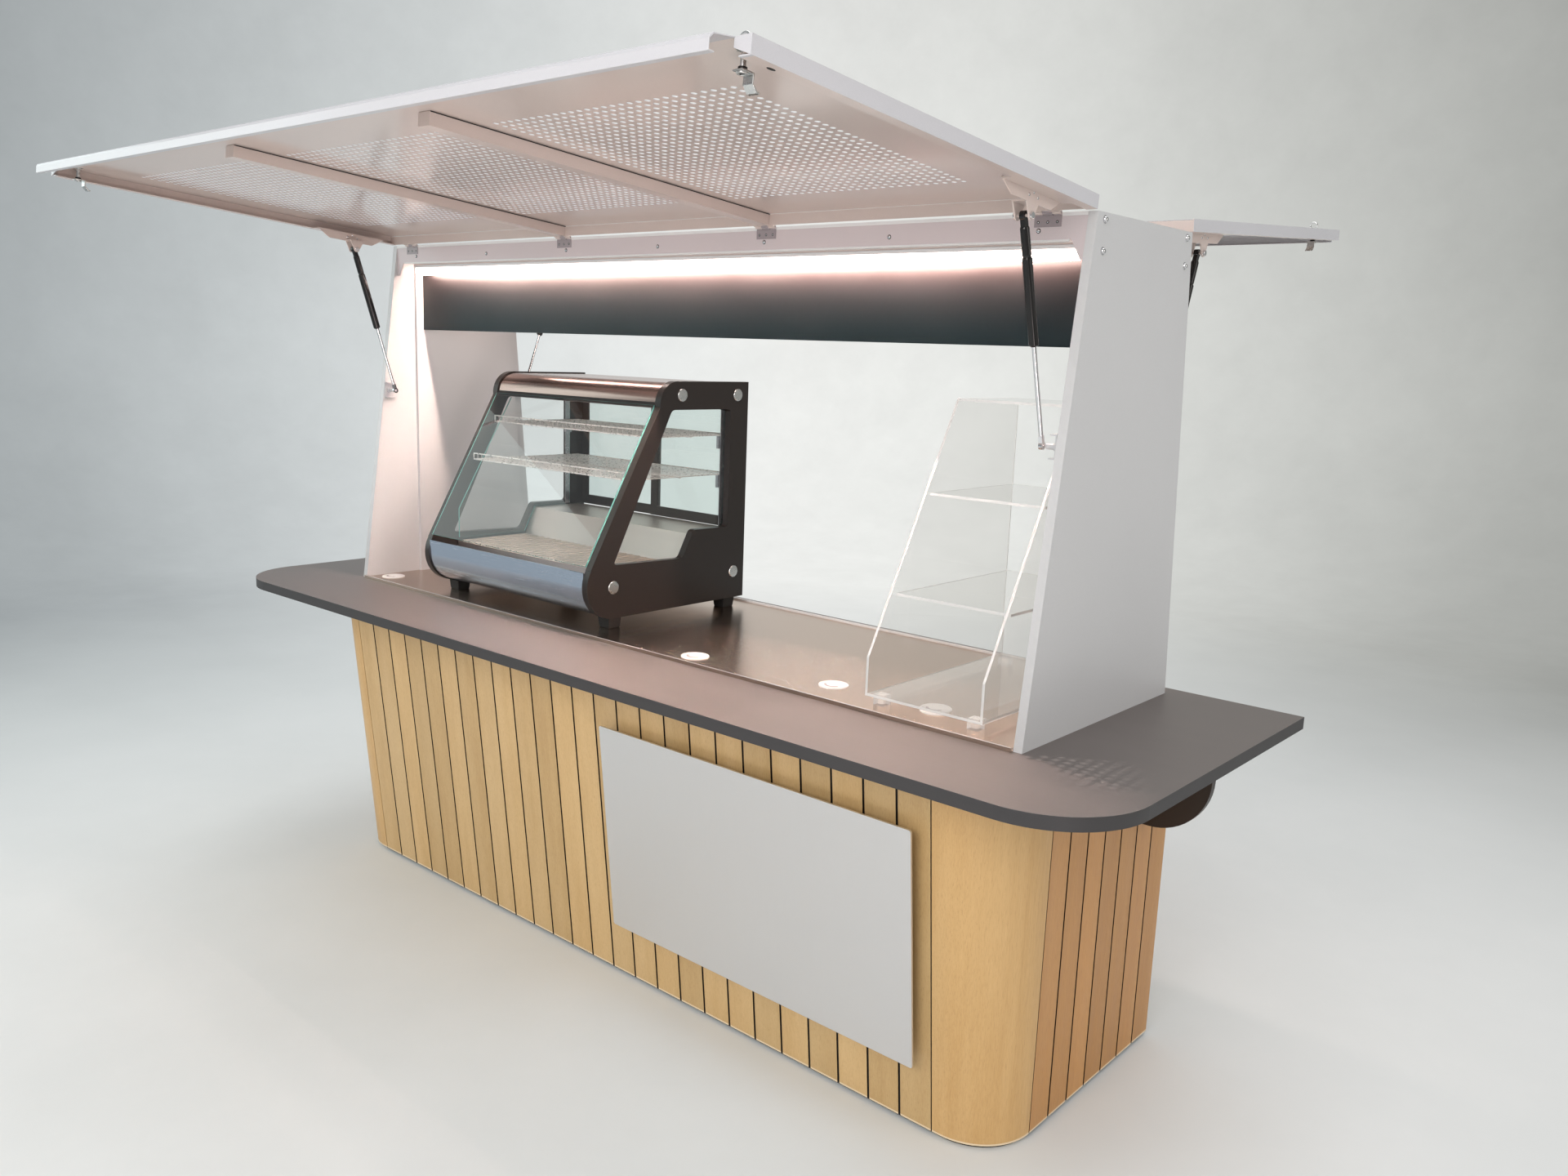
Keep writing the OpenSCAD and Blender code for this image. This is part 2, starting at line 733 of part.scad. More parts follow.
module strut_brackets() {
    color("silver") for (side = [0, 1]) mirror([side, 0, 0]) {
        lower_bracket(front_lower);
        lower_bracket(rear_lower);
    }
}

module front_left_cylinder() { strut_cylinder(-1, front_upper, front_lower); }
module front_left_rod() { strut_rod(-1, front_upper, front_lower); }
module front_right_cylinder() { strut_cylinder(1, front_upper, front_lower); }
module front_right_rod() { strut_rod(1, front_upper, front_lower); }
module rear_left_cylinder() { strut_cylinder(-1, rear_upper, rear_lower); }
module rear_left_rod() { strut_rod(-1, rear_upper, rear_lower); }
module rear_right_cylinder() { strut_cylinder(1, rear_upper, rear_lower); }
module rear_right_rod() { strut_rod(1, rear_upper, rear_lower); }

// Display case: X along its width from the middle, Y from its front edge, Z from the worktop

glass_t = 5;
case_skin_t = 4;
case_front_r = 92;
case_top_r = 66;
case_deck = 150;
case_ledge = 235;
case_ledge_y = case_depth - 211;
slope_low = [12, 170];
slope_top = [258, case_h - 68];

module in_case() {
    translate([-case_x, -case_front, worktop_z]) children();
}

// Outline with each corner bent along a curve that starts r before it
function bent(a, p, b, r, steps) =
    let (u = (a - p) / norm(a - p), v = (b - p) / norm(b - p))
    [for (i = [0:steps]) let (t = i / steps) p + u * r * (1 - t) * (1 - t) + v * r * t * t];
function rounded(points, r, steps = 4) = let (n = len(points))
    [for (i = [0:n - 1]) each bent(points[(i + n - 1) % n], points[i], points[(i + 1) % n], r, steps)];

module case_profile() {
    polygon([[case_front_r, case_foot_h], [case_depth, case_foot_h], [case_depth, case_h],
        [slope_top[0] + 76, case_h], [slope_top[0], slope_top[1]], slope_low]);
    translate([case_front_r, case_foot_h + case_front_r]) circle(r = case_front_r, $fn = 96);
    translate([slope_top[0] + 64, case_h - case_top_r]) circle(r = case_top_r, $fn = 96);
}

module case_window() {
    polygon(rounded([[slope_top[0] + 44, case_h - 79], [case_depth - 73, case_h - 79],
        [case_depth - 73, case_ledge + 13], [case_ledge_y - 4, case_ledge + 15],
        [case_ledge_y - 48, case_deck + 20], [slope_low[0] + 80, case_deck + 28]], 12));
}

module case_end() {
    translate([case_w / 2 - case_end_t, 0, 0]) rotate([90, 0, 90]) linear_extrude(case_end_t)
        difference() {
            case_profile();
            case_window();
        }
}

module case_right_end() {
    color("#26211f") in_case() case_end();
}

module case_left_end() {
    color("#26211f") in_case() mirror([1, 0, 0]) case_end();
}

case_in = case_w / 2 - case_end_t;

// Cooling deck with its ribs, the sloping wall behind it and the ledge in front of the doors
module case_floor() {
    deck_front = case_front_r + 13;
    bottom = case_foot_h + 12;
    ribs = 24;
    rib_t = 6;
    rib_h = 3;
    deck_len = case_ledge_y - 35 - deck_front;
    color("silver") in_case() {
        along_x(2 * case_in) polygon([
            [deck_front, bottom], [case_depth - 20, bottom], [case_depth - 20, case_ledge],
            [case_ledge_y, case_ledge], [case_ledge_y - 35, case_deck], [deck_front, case_deck]]);
        for (i = [0:ribs - 1])
            translate([-case_in + (i + 0.5) * 2 * case_in / ribs - rib_t / 2, deck_front + 10, case_deck])
                cube([rib_t, deck_len - 20, rib_h]);
    }
}

module case_lower_front() {
    radius = case_front_r - case_skin_t;
    axis_z = case_foot_h + case_front_r;
    front_top = slope_low[1] - 8;
    color("lightsteelblue") in_case() along_x(2 * case_in) difference() {
        union() {
            translate([case_front_r, axis_z]) circle(r = radius, $fn = 96);
            translate([case_skin_t, axis_z]) square([radius, front_top - axis_z]);
        }
        translate([case_front_r, axis_z]) circle(r = radius - case_skin_t, $fn = 96);
        translate([2 * case_skin_t, axis_z]) square([2 * radius, radius]);
        translate([case_front_r, case_foot_h]) square([2 * radius, 3 * radius]);
    }
}

module case_top_cover() {
    centre = [slope_top[0] + 64, case_h - case_top_r];
    radius = case_top_r - case_skin_t;
    cover_h = 76;
    color("lightsteelblue") in_case() along_x(2 * case_in) {
        difference() {
            translate(centre) circle(r = radius, $fn = 96);
            translate(centre) circle(r = radius - case_skin_t, $fn = 96);
            translate([centre[0], centre[1] - case_top_r]) square(2 * case_top_r);
            translate([centre[0] - case_top_r, 0]) square([2 * case_top_r, case_h - cover_h]);
        }
        translate([centre[0], case_h - 2 * case_skin_t])
            square([case_depth - centre[0] - 20, case_skin_t]);
    }
}

module case_glass() {
    run = slope_top - slope_low;
    angle = atan2(run[1], run[0]);
    color("paleturquoise") in_case() {
        along_x(2 * case_in) translate([slope_low[0] + 6, slope_low[1] + 2]) rotate(angle)
            square([norm(run) - 8, glass_t]);
        for (side = [0, 1]) mirror([side, 0, 0])
            translate([case_in - glass_t, 0, 0]) rotate([90, 0, 90]) linear_extrude(glass_t) polygon([
                [slope_top[0] + 52, case_h - 82], [case_depth - 66, case_h - 82],
                [case_depth - 66, case_ledge + 5], [case_ledge_y + 2, case_ledge + 5],
                [case_ledge_y - 42, case_deck + 10], [110, case_deck + 10], [110, case_deck + 100]]);
        at_doors() translate([door_stile, (door_t - glass_t) / 2, door_stile])
            cube([case_in + door_stile / 2 - 2 * case_gap - 2 * door_stile, glass_t,
                door_high - door_low - 2 * door_stile]);
    }
}

shelf_clear = 31;
upper_drop = 158;
lower_drop = 273;
upper_clear = 23;
lower_clear = 8;
rail_h = 18;
function shelf_front(z, clear) = clear + slope_low[0]
    + (slope_top[0] - slope_low[0]) * (z + rail_h - slope_low[1]) / (slope_top[1] - slope_low[1]);

// Wire shelf with a raised rail along its front edge, which keeps clear of the sloping glass
module wire_shelf(z, clear) {
    wire = 4;
    y0 = shelf_front(z, clear);
    depth = case_depth - shelf_clear - y0;
    length = 2 * (case_in - glass_t - case_gap);
    rods = 14;
    for (y = [y0, y0 + depth - wire]) translate([-length / 2, y, z]) cube([length, wire, wire]);
    translate([-length / 2, y0, z + rail_h - wire]) cube([length, wire, wire]);
    for (i = [0:4]) translate([-length / 2 + i * (length - wire) / 4, y0, z]) cube([wire, wire, rail_h]);
    for (i = [0:rods]) translate([-length / 2 + i * (length - wire) / rods, y0, z]) cube([wire, depth, wire]);
}

module case_shelves() {
    color("silver") in_case() {
        wire_shelf(case_h - upper_drop, upper_clear);
        wire_shelf(case_h - lower_drop, lower_clear);
    }
}

door_stile = 30;
door_t = 8;
door_low = case_ledge + 1;
door_high = case_h - 2 * case_skin_t - 1;

// Children lie in one sliding door's own frame, with X along its width
module at_doors() {
    for (side = [0, 1]) mirror([side, 0, 0])
        translate([-door_stile / 2 + case_gap, case_depth - 2 * door_t - 2 + side * (door_t + 1), door_low])
            children();
}

module case_rear_doors() {
    width = case_in + door_stile / 2 - 2 * case_gap;
    height = door_high - door_low;
    color("#303030") in_case() at_doors() difference() {
        cube([width, door_t, height]);
        translate([door_stile, -eps, door_stile])
            cube([width - 2 * door_stile, door_t + 2 * eps, height - 2 * door_stile]);
    }
}

module case_fittings() {
    foot_w = 46;
    cap_d = 36;
    cap_y = case_depth - 45;
    color("#1b1b1b") in_case() for (side = [0, 1]) mirror([side, 0, 0])
        for (y = [case_front_r - 10, case_depth - foot_w - 30])
            translate([case_w / 2 - foot_w - 6, y, 0]) cube([foot_w, foot_w, case_foot_h]);
    color("silver") in_case() for (side = [0, 1]) mirror([side, 0, 0])
        for (at = [[slope_top[0] + 82, case_h - 38], [cap_y, case_h - 38], [cap_y, 110], [case_front_r, 116]])
            translate([case_w / 2, at[0], at[1]]) rotate([0, 90, 0]) cylinder(d = cap_d, h = 2, $fn = 48);
}

// Clear stand: Y from its front edge, Z from the worktop

stand_foot_h = 20;
stand_top_y = 300;
stand_levels = [[90, 236], [200, 455], [stand_top_y, stand_h - stand_t]];

module in_stand() {
    translate([stand_x, -stand_front, worktop_z]) children();
}

module stand_body() {
    in_w = stand_w - 2 * stand_t;
    color("azure") in_stand() {
        for (side = [0, 1]) mirror([side, 0, 0])
            translate([in_w / 2, 0, 0]) rotate([90, 0, 90]) linear_extrude(stand_t) polygon([
                [0, stand_foot_h], [stand_depth, stand_foot_h], [stand_depth, stand_h], [stand_top_y, stand_h],
                [15, 135], [0, 108]]);
        for (level = stand_levels) translate([-in_w / 2, level[0], level[1]])
            cube([in_w, stand_depth - level[0], stand_t]);
        translate([-in_w / 2, 0, stand_foot_h]) cube([in_w, stand_depth, stand_t]);
    }
}

module stand_feet() {
    foot = 28;
    foot_in = 16;
    color("aliceblue") in_stand() for (x = [-stand_w / 2 + foot_in, stand_w / 2 - foot - foot_in],
            y = [10, stand_depth - 10 - foot])
        translate([x, y, 0]) cube([foot, foot, stand_foot_h]);
}

plinth();
front_cladding();
rear_cladding();
left_cladding();
right_cladding();
left_corner();
right_corner();
overhang_brackets();
sign_board();
countertop();
worktop();
cable_grommets();
left_panel();
right_panel();
roof_panel();
front_header();
rear_header();
led_housing();
led_diffuser();
valance();
strut_brackets();
front_hinges();
rear_hinges();
front_flap_sheet();
front_flap_frame();
front_flap_latches();
rear_flap_sheet();
rear_flap_frame();
rear_flap_latches();
front_left_cylinder();
front_left_rod();
front_right_cylinder();
front_right_rod();
rear_left_cylinder();
rear_left_rod();
rear_right_cylinder();
rear_right_rod();
case_left_end();
case_right_end();
case_floor();
case_lower_front();
case_top_cover();
case_glass();
case_shelves();
case_rear_doors();
case_fittings();
stand_body();
stand_feet();
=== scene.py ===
"""Looks of the market stall: materials, fine pieces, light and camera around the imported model."""
import math

import bmesh
import bpy
from mathutils import Matrix, Vector


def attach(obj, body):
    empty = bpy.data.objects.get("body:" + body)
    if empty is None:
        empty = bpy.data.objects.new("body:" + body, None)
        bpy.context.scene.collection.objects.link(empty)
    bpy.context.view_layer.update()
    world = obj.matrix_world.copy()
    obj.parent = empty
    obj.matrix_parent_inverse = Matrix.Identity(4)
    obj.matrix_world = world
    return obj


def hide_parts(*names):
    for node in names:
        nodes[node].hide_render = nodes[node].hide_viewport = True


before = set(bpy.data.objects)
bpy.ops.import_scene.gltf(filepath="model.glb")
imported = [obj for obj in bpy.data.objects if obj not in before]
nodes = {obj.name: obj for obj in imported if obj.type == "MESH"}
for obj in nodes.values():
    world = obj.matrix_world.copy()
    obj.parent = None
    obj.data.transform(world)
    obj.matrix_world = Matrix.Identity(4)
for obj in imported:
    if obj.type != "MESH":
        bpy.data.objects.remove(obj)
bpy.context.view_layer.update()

# Sizes of the stall that the looks follow, in metres. SIDE_X is the outer face of panels and flaps.
# A header face is its place along Y and the way that it looks.

COUNTER_Z = 0.900
PLINTH_Z = 0.010
ROOF_Z = 1.954
BASE_LEAN = math.radians(5.9)
BASE_FRONT_Y = -0.362
BASE_END_X = 1.245
BOARDS_X = 1.087
FRONT_BOARDS = 25
END_BOARDS = 7
END_BOARDS_Y = (-0.222, 0.362)
REAR_BOARDS = 28
REAR_BOARDS_X = 1.227
SIDE_X = 1.225
FLAP_END_Y = 1.180
HEADER_FACES = ((-0.203, -1), (0.235, 1))
RIB_XS = (-0.373, 0.373)
HINGE_XS = (-1.118, -0.373, 0.373, 1.118)
STRUT_X = 1.165


# Shader helpers

class Shader:
    """One node material, with short calls for the textures that most of them use."""

    def __init__(self, name, color, roughness, metallic=0.0, **sockets):
        self.material = bpy.data.materials.new(name)
        self.material.use_nodes = True
        self.nodes = self.material.node_tree.nodes
        self.links = self.material.node_tree.links
        self.surface = self.nodes["Principled BSDF"]
        self.set("Base Color", (*color, 1.0))
        self.set("Roughness", roughness)
        self.set("Metallic", metallic)
        for socket, value in sockets.items():
            self.set(socket.replace("_", " "), value)
        self.place = self.nodes.new("ShaderNodeTexCoord").outputs["Object"]

    def set(self, socket, value):
        self.surface.inputs[socket].default_value = value

    def link(self, output, socket):
        self.links.new(output, self.surface.inputs[socket])

    def node(self, kind, **inputs):
        """Node of a kind, with its sockets set or linked by name, or by number as i0, i1 and so on."""
        made = self.nodes.new(kind)
        for name, value in inputs.items():
            numbered = name[0] == "i" and name[1:].isdigit()
            socket = made.inputs[int(name[1:]) if numbered else name]
            if isinstance(value, bpy.types.NodeSocket):
                self.links.new(value, socket)
            else:
                socket.default_value = value
        return made

    def math(self, operation, a, b=0.0, c=0.0):
        made = self.nodes.new("ShaderNodeMath")
        made.operation = operation
        for index, value in enumerate((a, b, c)):
            if isinstance(value, bpy.types.NodeSocket):
                self.links.new(value, made.inputs[index])
            else:
                made.inputs[index].default_value = value
        return made.outputs[0]

    def stretched(self, scale):
        """The object's coordinates, stretched by a factor along each axis."""
        made = self.nodes.new("ShaderNodeMapping")
        self.links.new(self.place, made.inputs["Vector"])
        made.inputs["Scale"].default_value = scale
        return made.outputs["Vector"]

    def noise(self, scale, detail=3.0, stretch=(1, 1, 1), roughness=0.55, vector=None):
        return self.node("ShaderNodeTexNoise", Vector=vector or self.stretched(stretch), Scale=scale,
                         Detail=detail, Roughness=roughness).outputs["Fac"]

    def ramp(self, value, stops):
        """Colour ramp through stops of (position, colour)."""
        made = self.nodes.new("ShaderNodeValToRGB")
        self.links.new(value, made.inputs["Fac"])
        ramp = made.color_ramp
        while len(ramp.elements) < len(stops):
            ramp.elements.new(0.5)
        for element, (position, color) in zip(ramp.elements, stops):
            element.position = position
            element.color = (*color, 1.0) if len(color) == 3 else (color[0],) * 3 + (1.0,)
        return made.outputs["Color"]

    def span(self, value, low, high, to_low, to_high):
        """The value carried from one range to another, and held at its ends."""
        made = self.node("ShaderNodeMapRange", Value=value)
        made.inputs["From Min"].default_value = low
        made.inputs["From Max"].default_value = high
        made.inputs["To Min"].default_value = to_low
        made.inputs["To Max"].default_value = to_high
        return made.outputs["Result"]

    def mix(self, factor, a, b, blend="MIX"):
        made = self.nodes.new("ShaderNodeMix")
        made.data_type = "RGBA"
        made.blend_type = blend
        for socket, value in ((made.inputs[0], factor), (made.inputs[6], a), (made.inputs[7], b)):
            if isinstance(value, bpy.types.NodeSocket):
                self.links.new(value, socket)
            elif isinstance(value, (int, float)):
                socket.default_value = value
            else:
                socket.default_value = (*value, 1.0)
        return made.outputs[2]

    def times(self, a, b):
        """Two colours multiplied."""
        return self.mix(1.0, a, b, "MULTIPLY")

    def bump(self, height, strength, distance):
        made = self.node("ShaderNodeBump", Height=height, Strength=strength, Distance=distance)
        self.links.new(made.outputs["Normal"], self.surface.inputs["Normal"])

    def gray(self, value):
        """The same number in all three channels."""
        return self.node("ShaderNodeCombineXYZ", X=value, Y=value, Z=value).outputs[0]

    def axis(self, index):
        """X, Y or Z of the object's coordinates."""
        made = self.node("ShaderNodeSeparateXYZ", Vector=self.place)
        return made.outputs[index]


# Materials

PAINT_WEAR = 0.02


def painted(name, color, roughness, other=None, where=None):
    """Powder-coated sheet: fine orange peel, faint smudges, and another colour where a mask says so."""
    s = Shader(name, color, roughness)
    smudge = s.span(s.noise(1.7, 4.0), 0.3, 0.7, 0.0, 1.0)
    speck = s.span(s.noise(700.0, 1.0), 0.3, 0.7, 1 - PAINT_WEAR, 1 + PAINT_WEAR)
    paint = s.mix(where(s), color, other) if where else color
    toned = s.mix(smudge, (1 - PAINT_WEAR,) * 3, (1 + PAINT_WEAR,) * 3)
    s.link(s.times(s.times(paint, toned), s.gray(speck)), "Base Color")
    s.link(s.span(s.noise(5.0, 3.0), 0.3, 0.7, roughness - 0.015, roughness + 0.015), "Roughness")
    s.bump(s.noise(420.0, 2.0), 0.005, 0.0003)
    return s.material


def brushed(name, color, roughness, along=(0.015, 1, 1), tint=0.04, across=None,
            relief=0.04, vary=0.04):
    """Stainless steel with a fine brushed grain along one axis, which blurs reflections across it."""
    s = Shader(name, color, roughness, metallic=1.0)
    if across:
        s.set("Anisotropic", 0.8)
        tangent = s.node("ShaderNodeCombineXYZ", X=across[0], Y=across[1], Z=across[2])
        s.link(tangent.outputs[0], "Tangent")
    fine = s.noise(900.0, 4.0, stretch=along)
    broad = s.noise(60.0, 3.0, stretch=along)
    grain = s.math("ADD", s.math("MULTIPLY", fine, 0.6), s.math("MULTIPLY", broad, 0.4))
    shade = s.span(grain, 0.35, 0.65, 1 - tint, 1 + tint)
    s.link(s.times(color, s.gray(shade)), "Base Color")
    s.link(s.span(grain, 0.35, 0.65, roughness - vary, roughness + vary), "Roughness")
    s.bump(fine, relief, 0.0002)
    return s.material


def plated(name, color, roughness):
    """Bright plated wire, which scatters part of the light."""
    s = Shader(name, color, roughness, metallic=0.5)
    s.link(s.span(s.noise(90.0, 3.0), 0.3, 0.7, roughness * 0.8, roughness * 1.2), "Roughness")
    return s.material


def polished(name, color, roughness):
    """Plated or turned metal with faint handling marks."""
    s = Shader(name, color, roughness, metallic=1.0)
    s.link(s.span(s.noise(60.0, 4.0), 0.3, 0.7, roughness * 0.8, roughness * 1.3), "Roughness")
    return s.material


# Heights over which the valance's painted glow of the tube fades in towards the top.
VALANCE_GLOW_Z = (1.72, 1.85)


def anodized(name, low, high, roughness):
    """Dark anodized sheet with faint smears, cooler at its lower edge and warmer towards its top as a
    painted glow of the tube.
    """
    s = Shader(name, low, roughness, metallic=0.3, Specular_IOR_Level=0.22)
    smear = s.span(s.noise(3.0, 5.0, stretch=(0.6, 1, 1)), 0.3, 0.7, 0.9, 1.1)
    # Painted glow: warmer towards the top, near the tube.
    color = s.mix(s.span(s.axis(2), *VALANCE_GLOW_Z, 0.0, 1.0), low, high)
    s.link(s.times(color, s.gray(smear)), "Base Color")
    s.link(s.span(s.noise(8.0, 4.0), 0.3, 0.7, roughness - 0.04, roughness + 0.04), "Roughness")
    s.bump(s.noise(600.0, 2.0), 0.02, 0.0002)
    return s.material


def laminate(name, edge, face, roughness):
    """Dark countertop: plain edge band, and a metallic satin face with a grain along its length."""
    s = Shader(name, edge, roughness)
    on_face = s.math("GREATER_THAN", s.axis(2), COUNTER_Z - 0.0005)
    fine = s.noise(500.0, 4.0, stretch=(0.02, 1, 1))
    broad = s.noise(14.0, 4.0, stretch=(0.12, 1, 1))
    grain = s.math("ADD", s.math("MULTIPLY", fine, 0.5), s.math("MULTIPLY", broad, 0.5))
    shade = s.gray(s.span(grain, 0.35, 0.65, 0.94, 1.06))
    s.link(s.times(s.mix(on_face, edge, face), shade), "Base Color")
    s.link(s.math("MULTIPLY", on_face, 0.8), "Metallic")
    s.link(s.span(grain, 0.35, 0.65, roughness - 0.03, roughness + 0.03), "Roughness")
    s.bump(fine, 0.05, 0.0002)
    return s.material


WOOD_LIGHT = (0.595, 0.400, 0.188)
WOOD_DARK = (0.525, 0.335, 0.143)
WOOD_PALE = (0.650, 0.458, 0.235)
WOOD_PORE = (0.42, 0.245, 0.10)
GROOVE_COLOR = (0.006, 0.004, 0.003)
# Painted highlight: a lighter band along the lower edge of the boards, and its height.
LOWER_EDGE_HIGHLIGHT = (0.78, 0.62, 0.42)
LOWER_HIGHLIGHT_H = 0.0045
GROOVE_START = 0.0002
GRAIN_STRETCH = (1.0, 1.0, 0.045)
BOARD_SHIFT = (3.7, 1.3, 0.71)
BOARD_TONES = [(0.0, (0.91, 0.90, 0.87)), (0.5, (1.0, 1.0, 1.0)), (1.0, (1.06, 1.04, 1.0))]


def wood(name, across, start, pitch, in_groove=None, tone=(1.0, 1.0, 1.0)):
    """Wood-look boards with upright grain. across is the axis that the boards repeat along."""
    s = Shader(name, WOOD_LIGHT, 0.42)
    board = s.math("FLOOR", s.math("DIVIDE", s.math("SUBTRACT", s.axis(across), start), pitch))
    x, y, z = (s.math("MULTIPLY", board, step) for step in BOARD_SHIFT)
    shift = s.node("ShaderNodeCombineXYZ", X=x, Y=y, Z=z).outputs[0]
    moved = s.node("ShaderNodeVectorMath", i0=s.place, i1=shift).outputs[0]
    stretched = s.node("ShaderNodeMapping", Vector=moved, Scale=GRAIN_STRETCH).outputs[0]
    pores = s.noise(850.0, 2.0, vector=stretched)
    fine = s.noise(300.0, 4.0, vector=stretched, roughness=0.6)
    broad = s.noise(34.0, 3.0, vector=stretched, roughness=0.5)
    bands = s.noise(11.0, 2.0, vector=stretched, roughness=0.5)
    grain = s.math("ADD", s.math("MULTIPLY", fine, 0.5), s.math("MULTIPLY", broad, 0.5))
    color = s.mix(s.span(grain, 0.38, 0.62, 0.0, 1.0), WOOD_DARK, WOOD_LIGHT)
    color = s.mix(s.span(bands, 0.38, 0.62, 0.0, 0.45), color, WOOD_PALE)
    color = s.mix(s.span(pores, 0.55, 0.66, 0.0, 0.42), color, WOOD_PORE)
    pick = s.node("ShaderNodeTexWhiteNoise", Vector=shift).outputs["Value"]
    color = s.times(s.times(color, s.ramp(pick, BOARD_TONES)), tone)
    # Painted highlight along the boards' lower edge.
    color = s.mix(s.math("LESS_THAN", s.axis(2), PLINTH_Z + LOWER_HIGHLIGHT_H), color, LOWER_EDGE_HIGHLIGHT)
    if in_groove:
        color = s.mix(in_groove(s), color, GROOVE_COLOR)
    s.link(color, "Base Color")
    s.link(s.span(broad, 0.3, 0.7, 0.38, 0.48), "Roughness")
    s.bump(fine, 0.08, 0.0004)
    return s.material


def in_front_groove(s):
    """1 where a point of the leaning front lies inside a groove."""
    inward = s.math("MULTIPLY", s.math("SUBTRACT", s.axis(1), BASE_FRONT_Y), math.cos(BASE_LEAN))
    upward = s.math("MULTIPLY", s.axis(2), math.sin(BASE_LEAN))
    return s.math("GREATER_THAN", s.math("ADD", inward, upward), GROOVE_START)


def in_rear_groove(s):
    """1 where a point of the upright rear lies inside a groove."""
    return s.math("LESS_THAN", s.axis(1), -BASE_FRONT_Y - GROOVE_START)


def in_end_groove(s):
    """1 where a point of an end lies inside a groove."""
    return s.math("LESS_THAN", s.math("ABSOLUTE", s.axis(0)), BASE_END_X - GROOVE_START)


def flap_outside(s):
    """1 on the outer faces of a flap's side rails and at its front end, which keep the plain white; the
    rest takes the underside's painted warm light.
    """
    side = s.math("GREATER_THAN", s.math("ABSOLUTE", s.axis(0)), SIDE_X - 0.0003)
    return s.math("MAXIMUM", side, s.math("GREATER_THAN", s.math("ABSOLUTE", s.axis(1)), FLAP_END_Y))


def glassy(name, color, ior=1.46):
    """Clear pane or plate with a faint tint."""
    return Shader(name, color, 0.0, Transmission_Weight=1.0, IOR=ior).material


def glow(name, base, color, strength, roughness=0.5, through=0.0):
    """Surface with a faint painted glow, standing in for light on it, though it is no lamp; through is
    the share that it lets pass.
    """
    s = Shader(name, base, roughness, Transmission_Weight=through)
    s.set("Emission Color", (*color, 1.0))
    s.set("Emission Strength", strength)
    return s.material


TUBE_BELOW = (0.1, -0.3)
TUBE_BEHIND = (-0.45, -0.12)
TUBE_REACH = (1.5, 2.2)
TUBE_FAR_SHARE = 0.04
TUBE_FADE_X = (0.8, 1.15)
TUBE_END_SHARE = 0.35
TUBE_SHOWN = 6.0


def near_glow(name, color, strength):
    """Glowing tube that lights what is near it, below and behind, and fades out before the floor."""
    s = Shader(name, (0.9, 0.9, 0.9), 0.5)
    s.set("Emission Color", (*color, 1.0))
    path = s.node("ShaderNodeLightPath")
    facing = s.node("ShaderNodeSeparateXYZ", Vector=s.node("ShaderNodeNewGeometry").outputs["Normal"])
    below = s.span(facing.outputs[2], *TUBE_BELOW, 0.0, 1.0)
    behind = s.span(facing.outputs[1], *TUBE_BEHIND, 0.0, 1.0)
    downward = s.math("MULTIPLY", below, behind)
    middle = s.span(s.math("ABSOLUTE", s.axis(0)), *TUBE_FADE_X, 1.0, TUBE_END_SHARE)
    distant = s.span(path.outputs["Ray Length"], *TUBE_REACH, strength, strength * TUBE_FAR_SHARE)
    reach = s.math("MULTIPLY", s.math("MULTIPLY", downward, middle), distant)
    shown = path.outputs["Is Camera Ray"]
    seen = s.math("MULTIPLY", shown, TUBE_SHOWN)
    lit = s.math("MULTIPLY", s.math("SUBTRACT", 1.0, shown), reach)
    s.link(s.math("ADD", seen, lit), "Emission Strength")
    return s.material


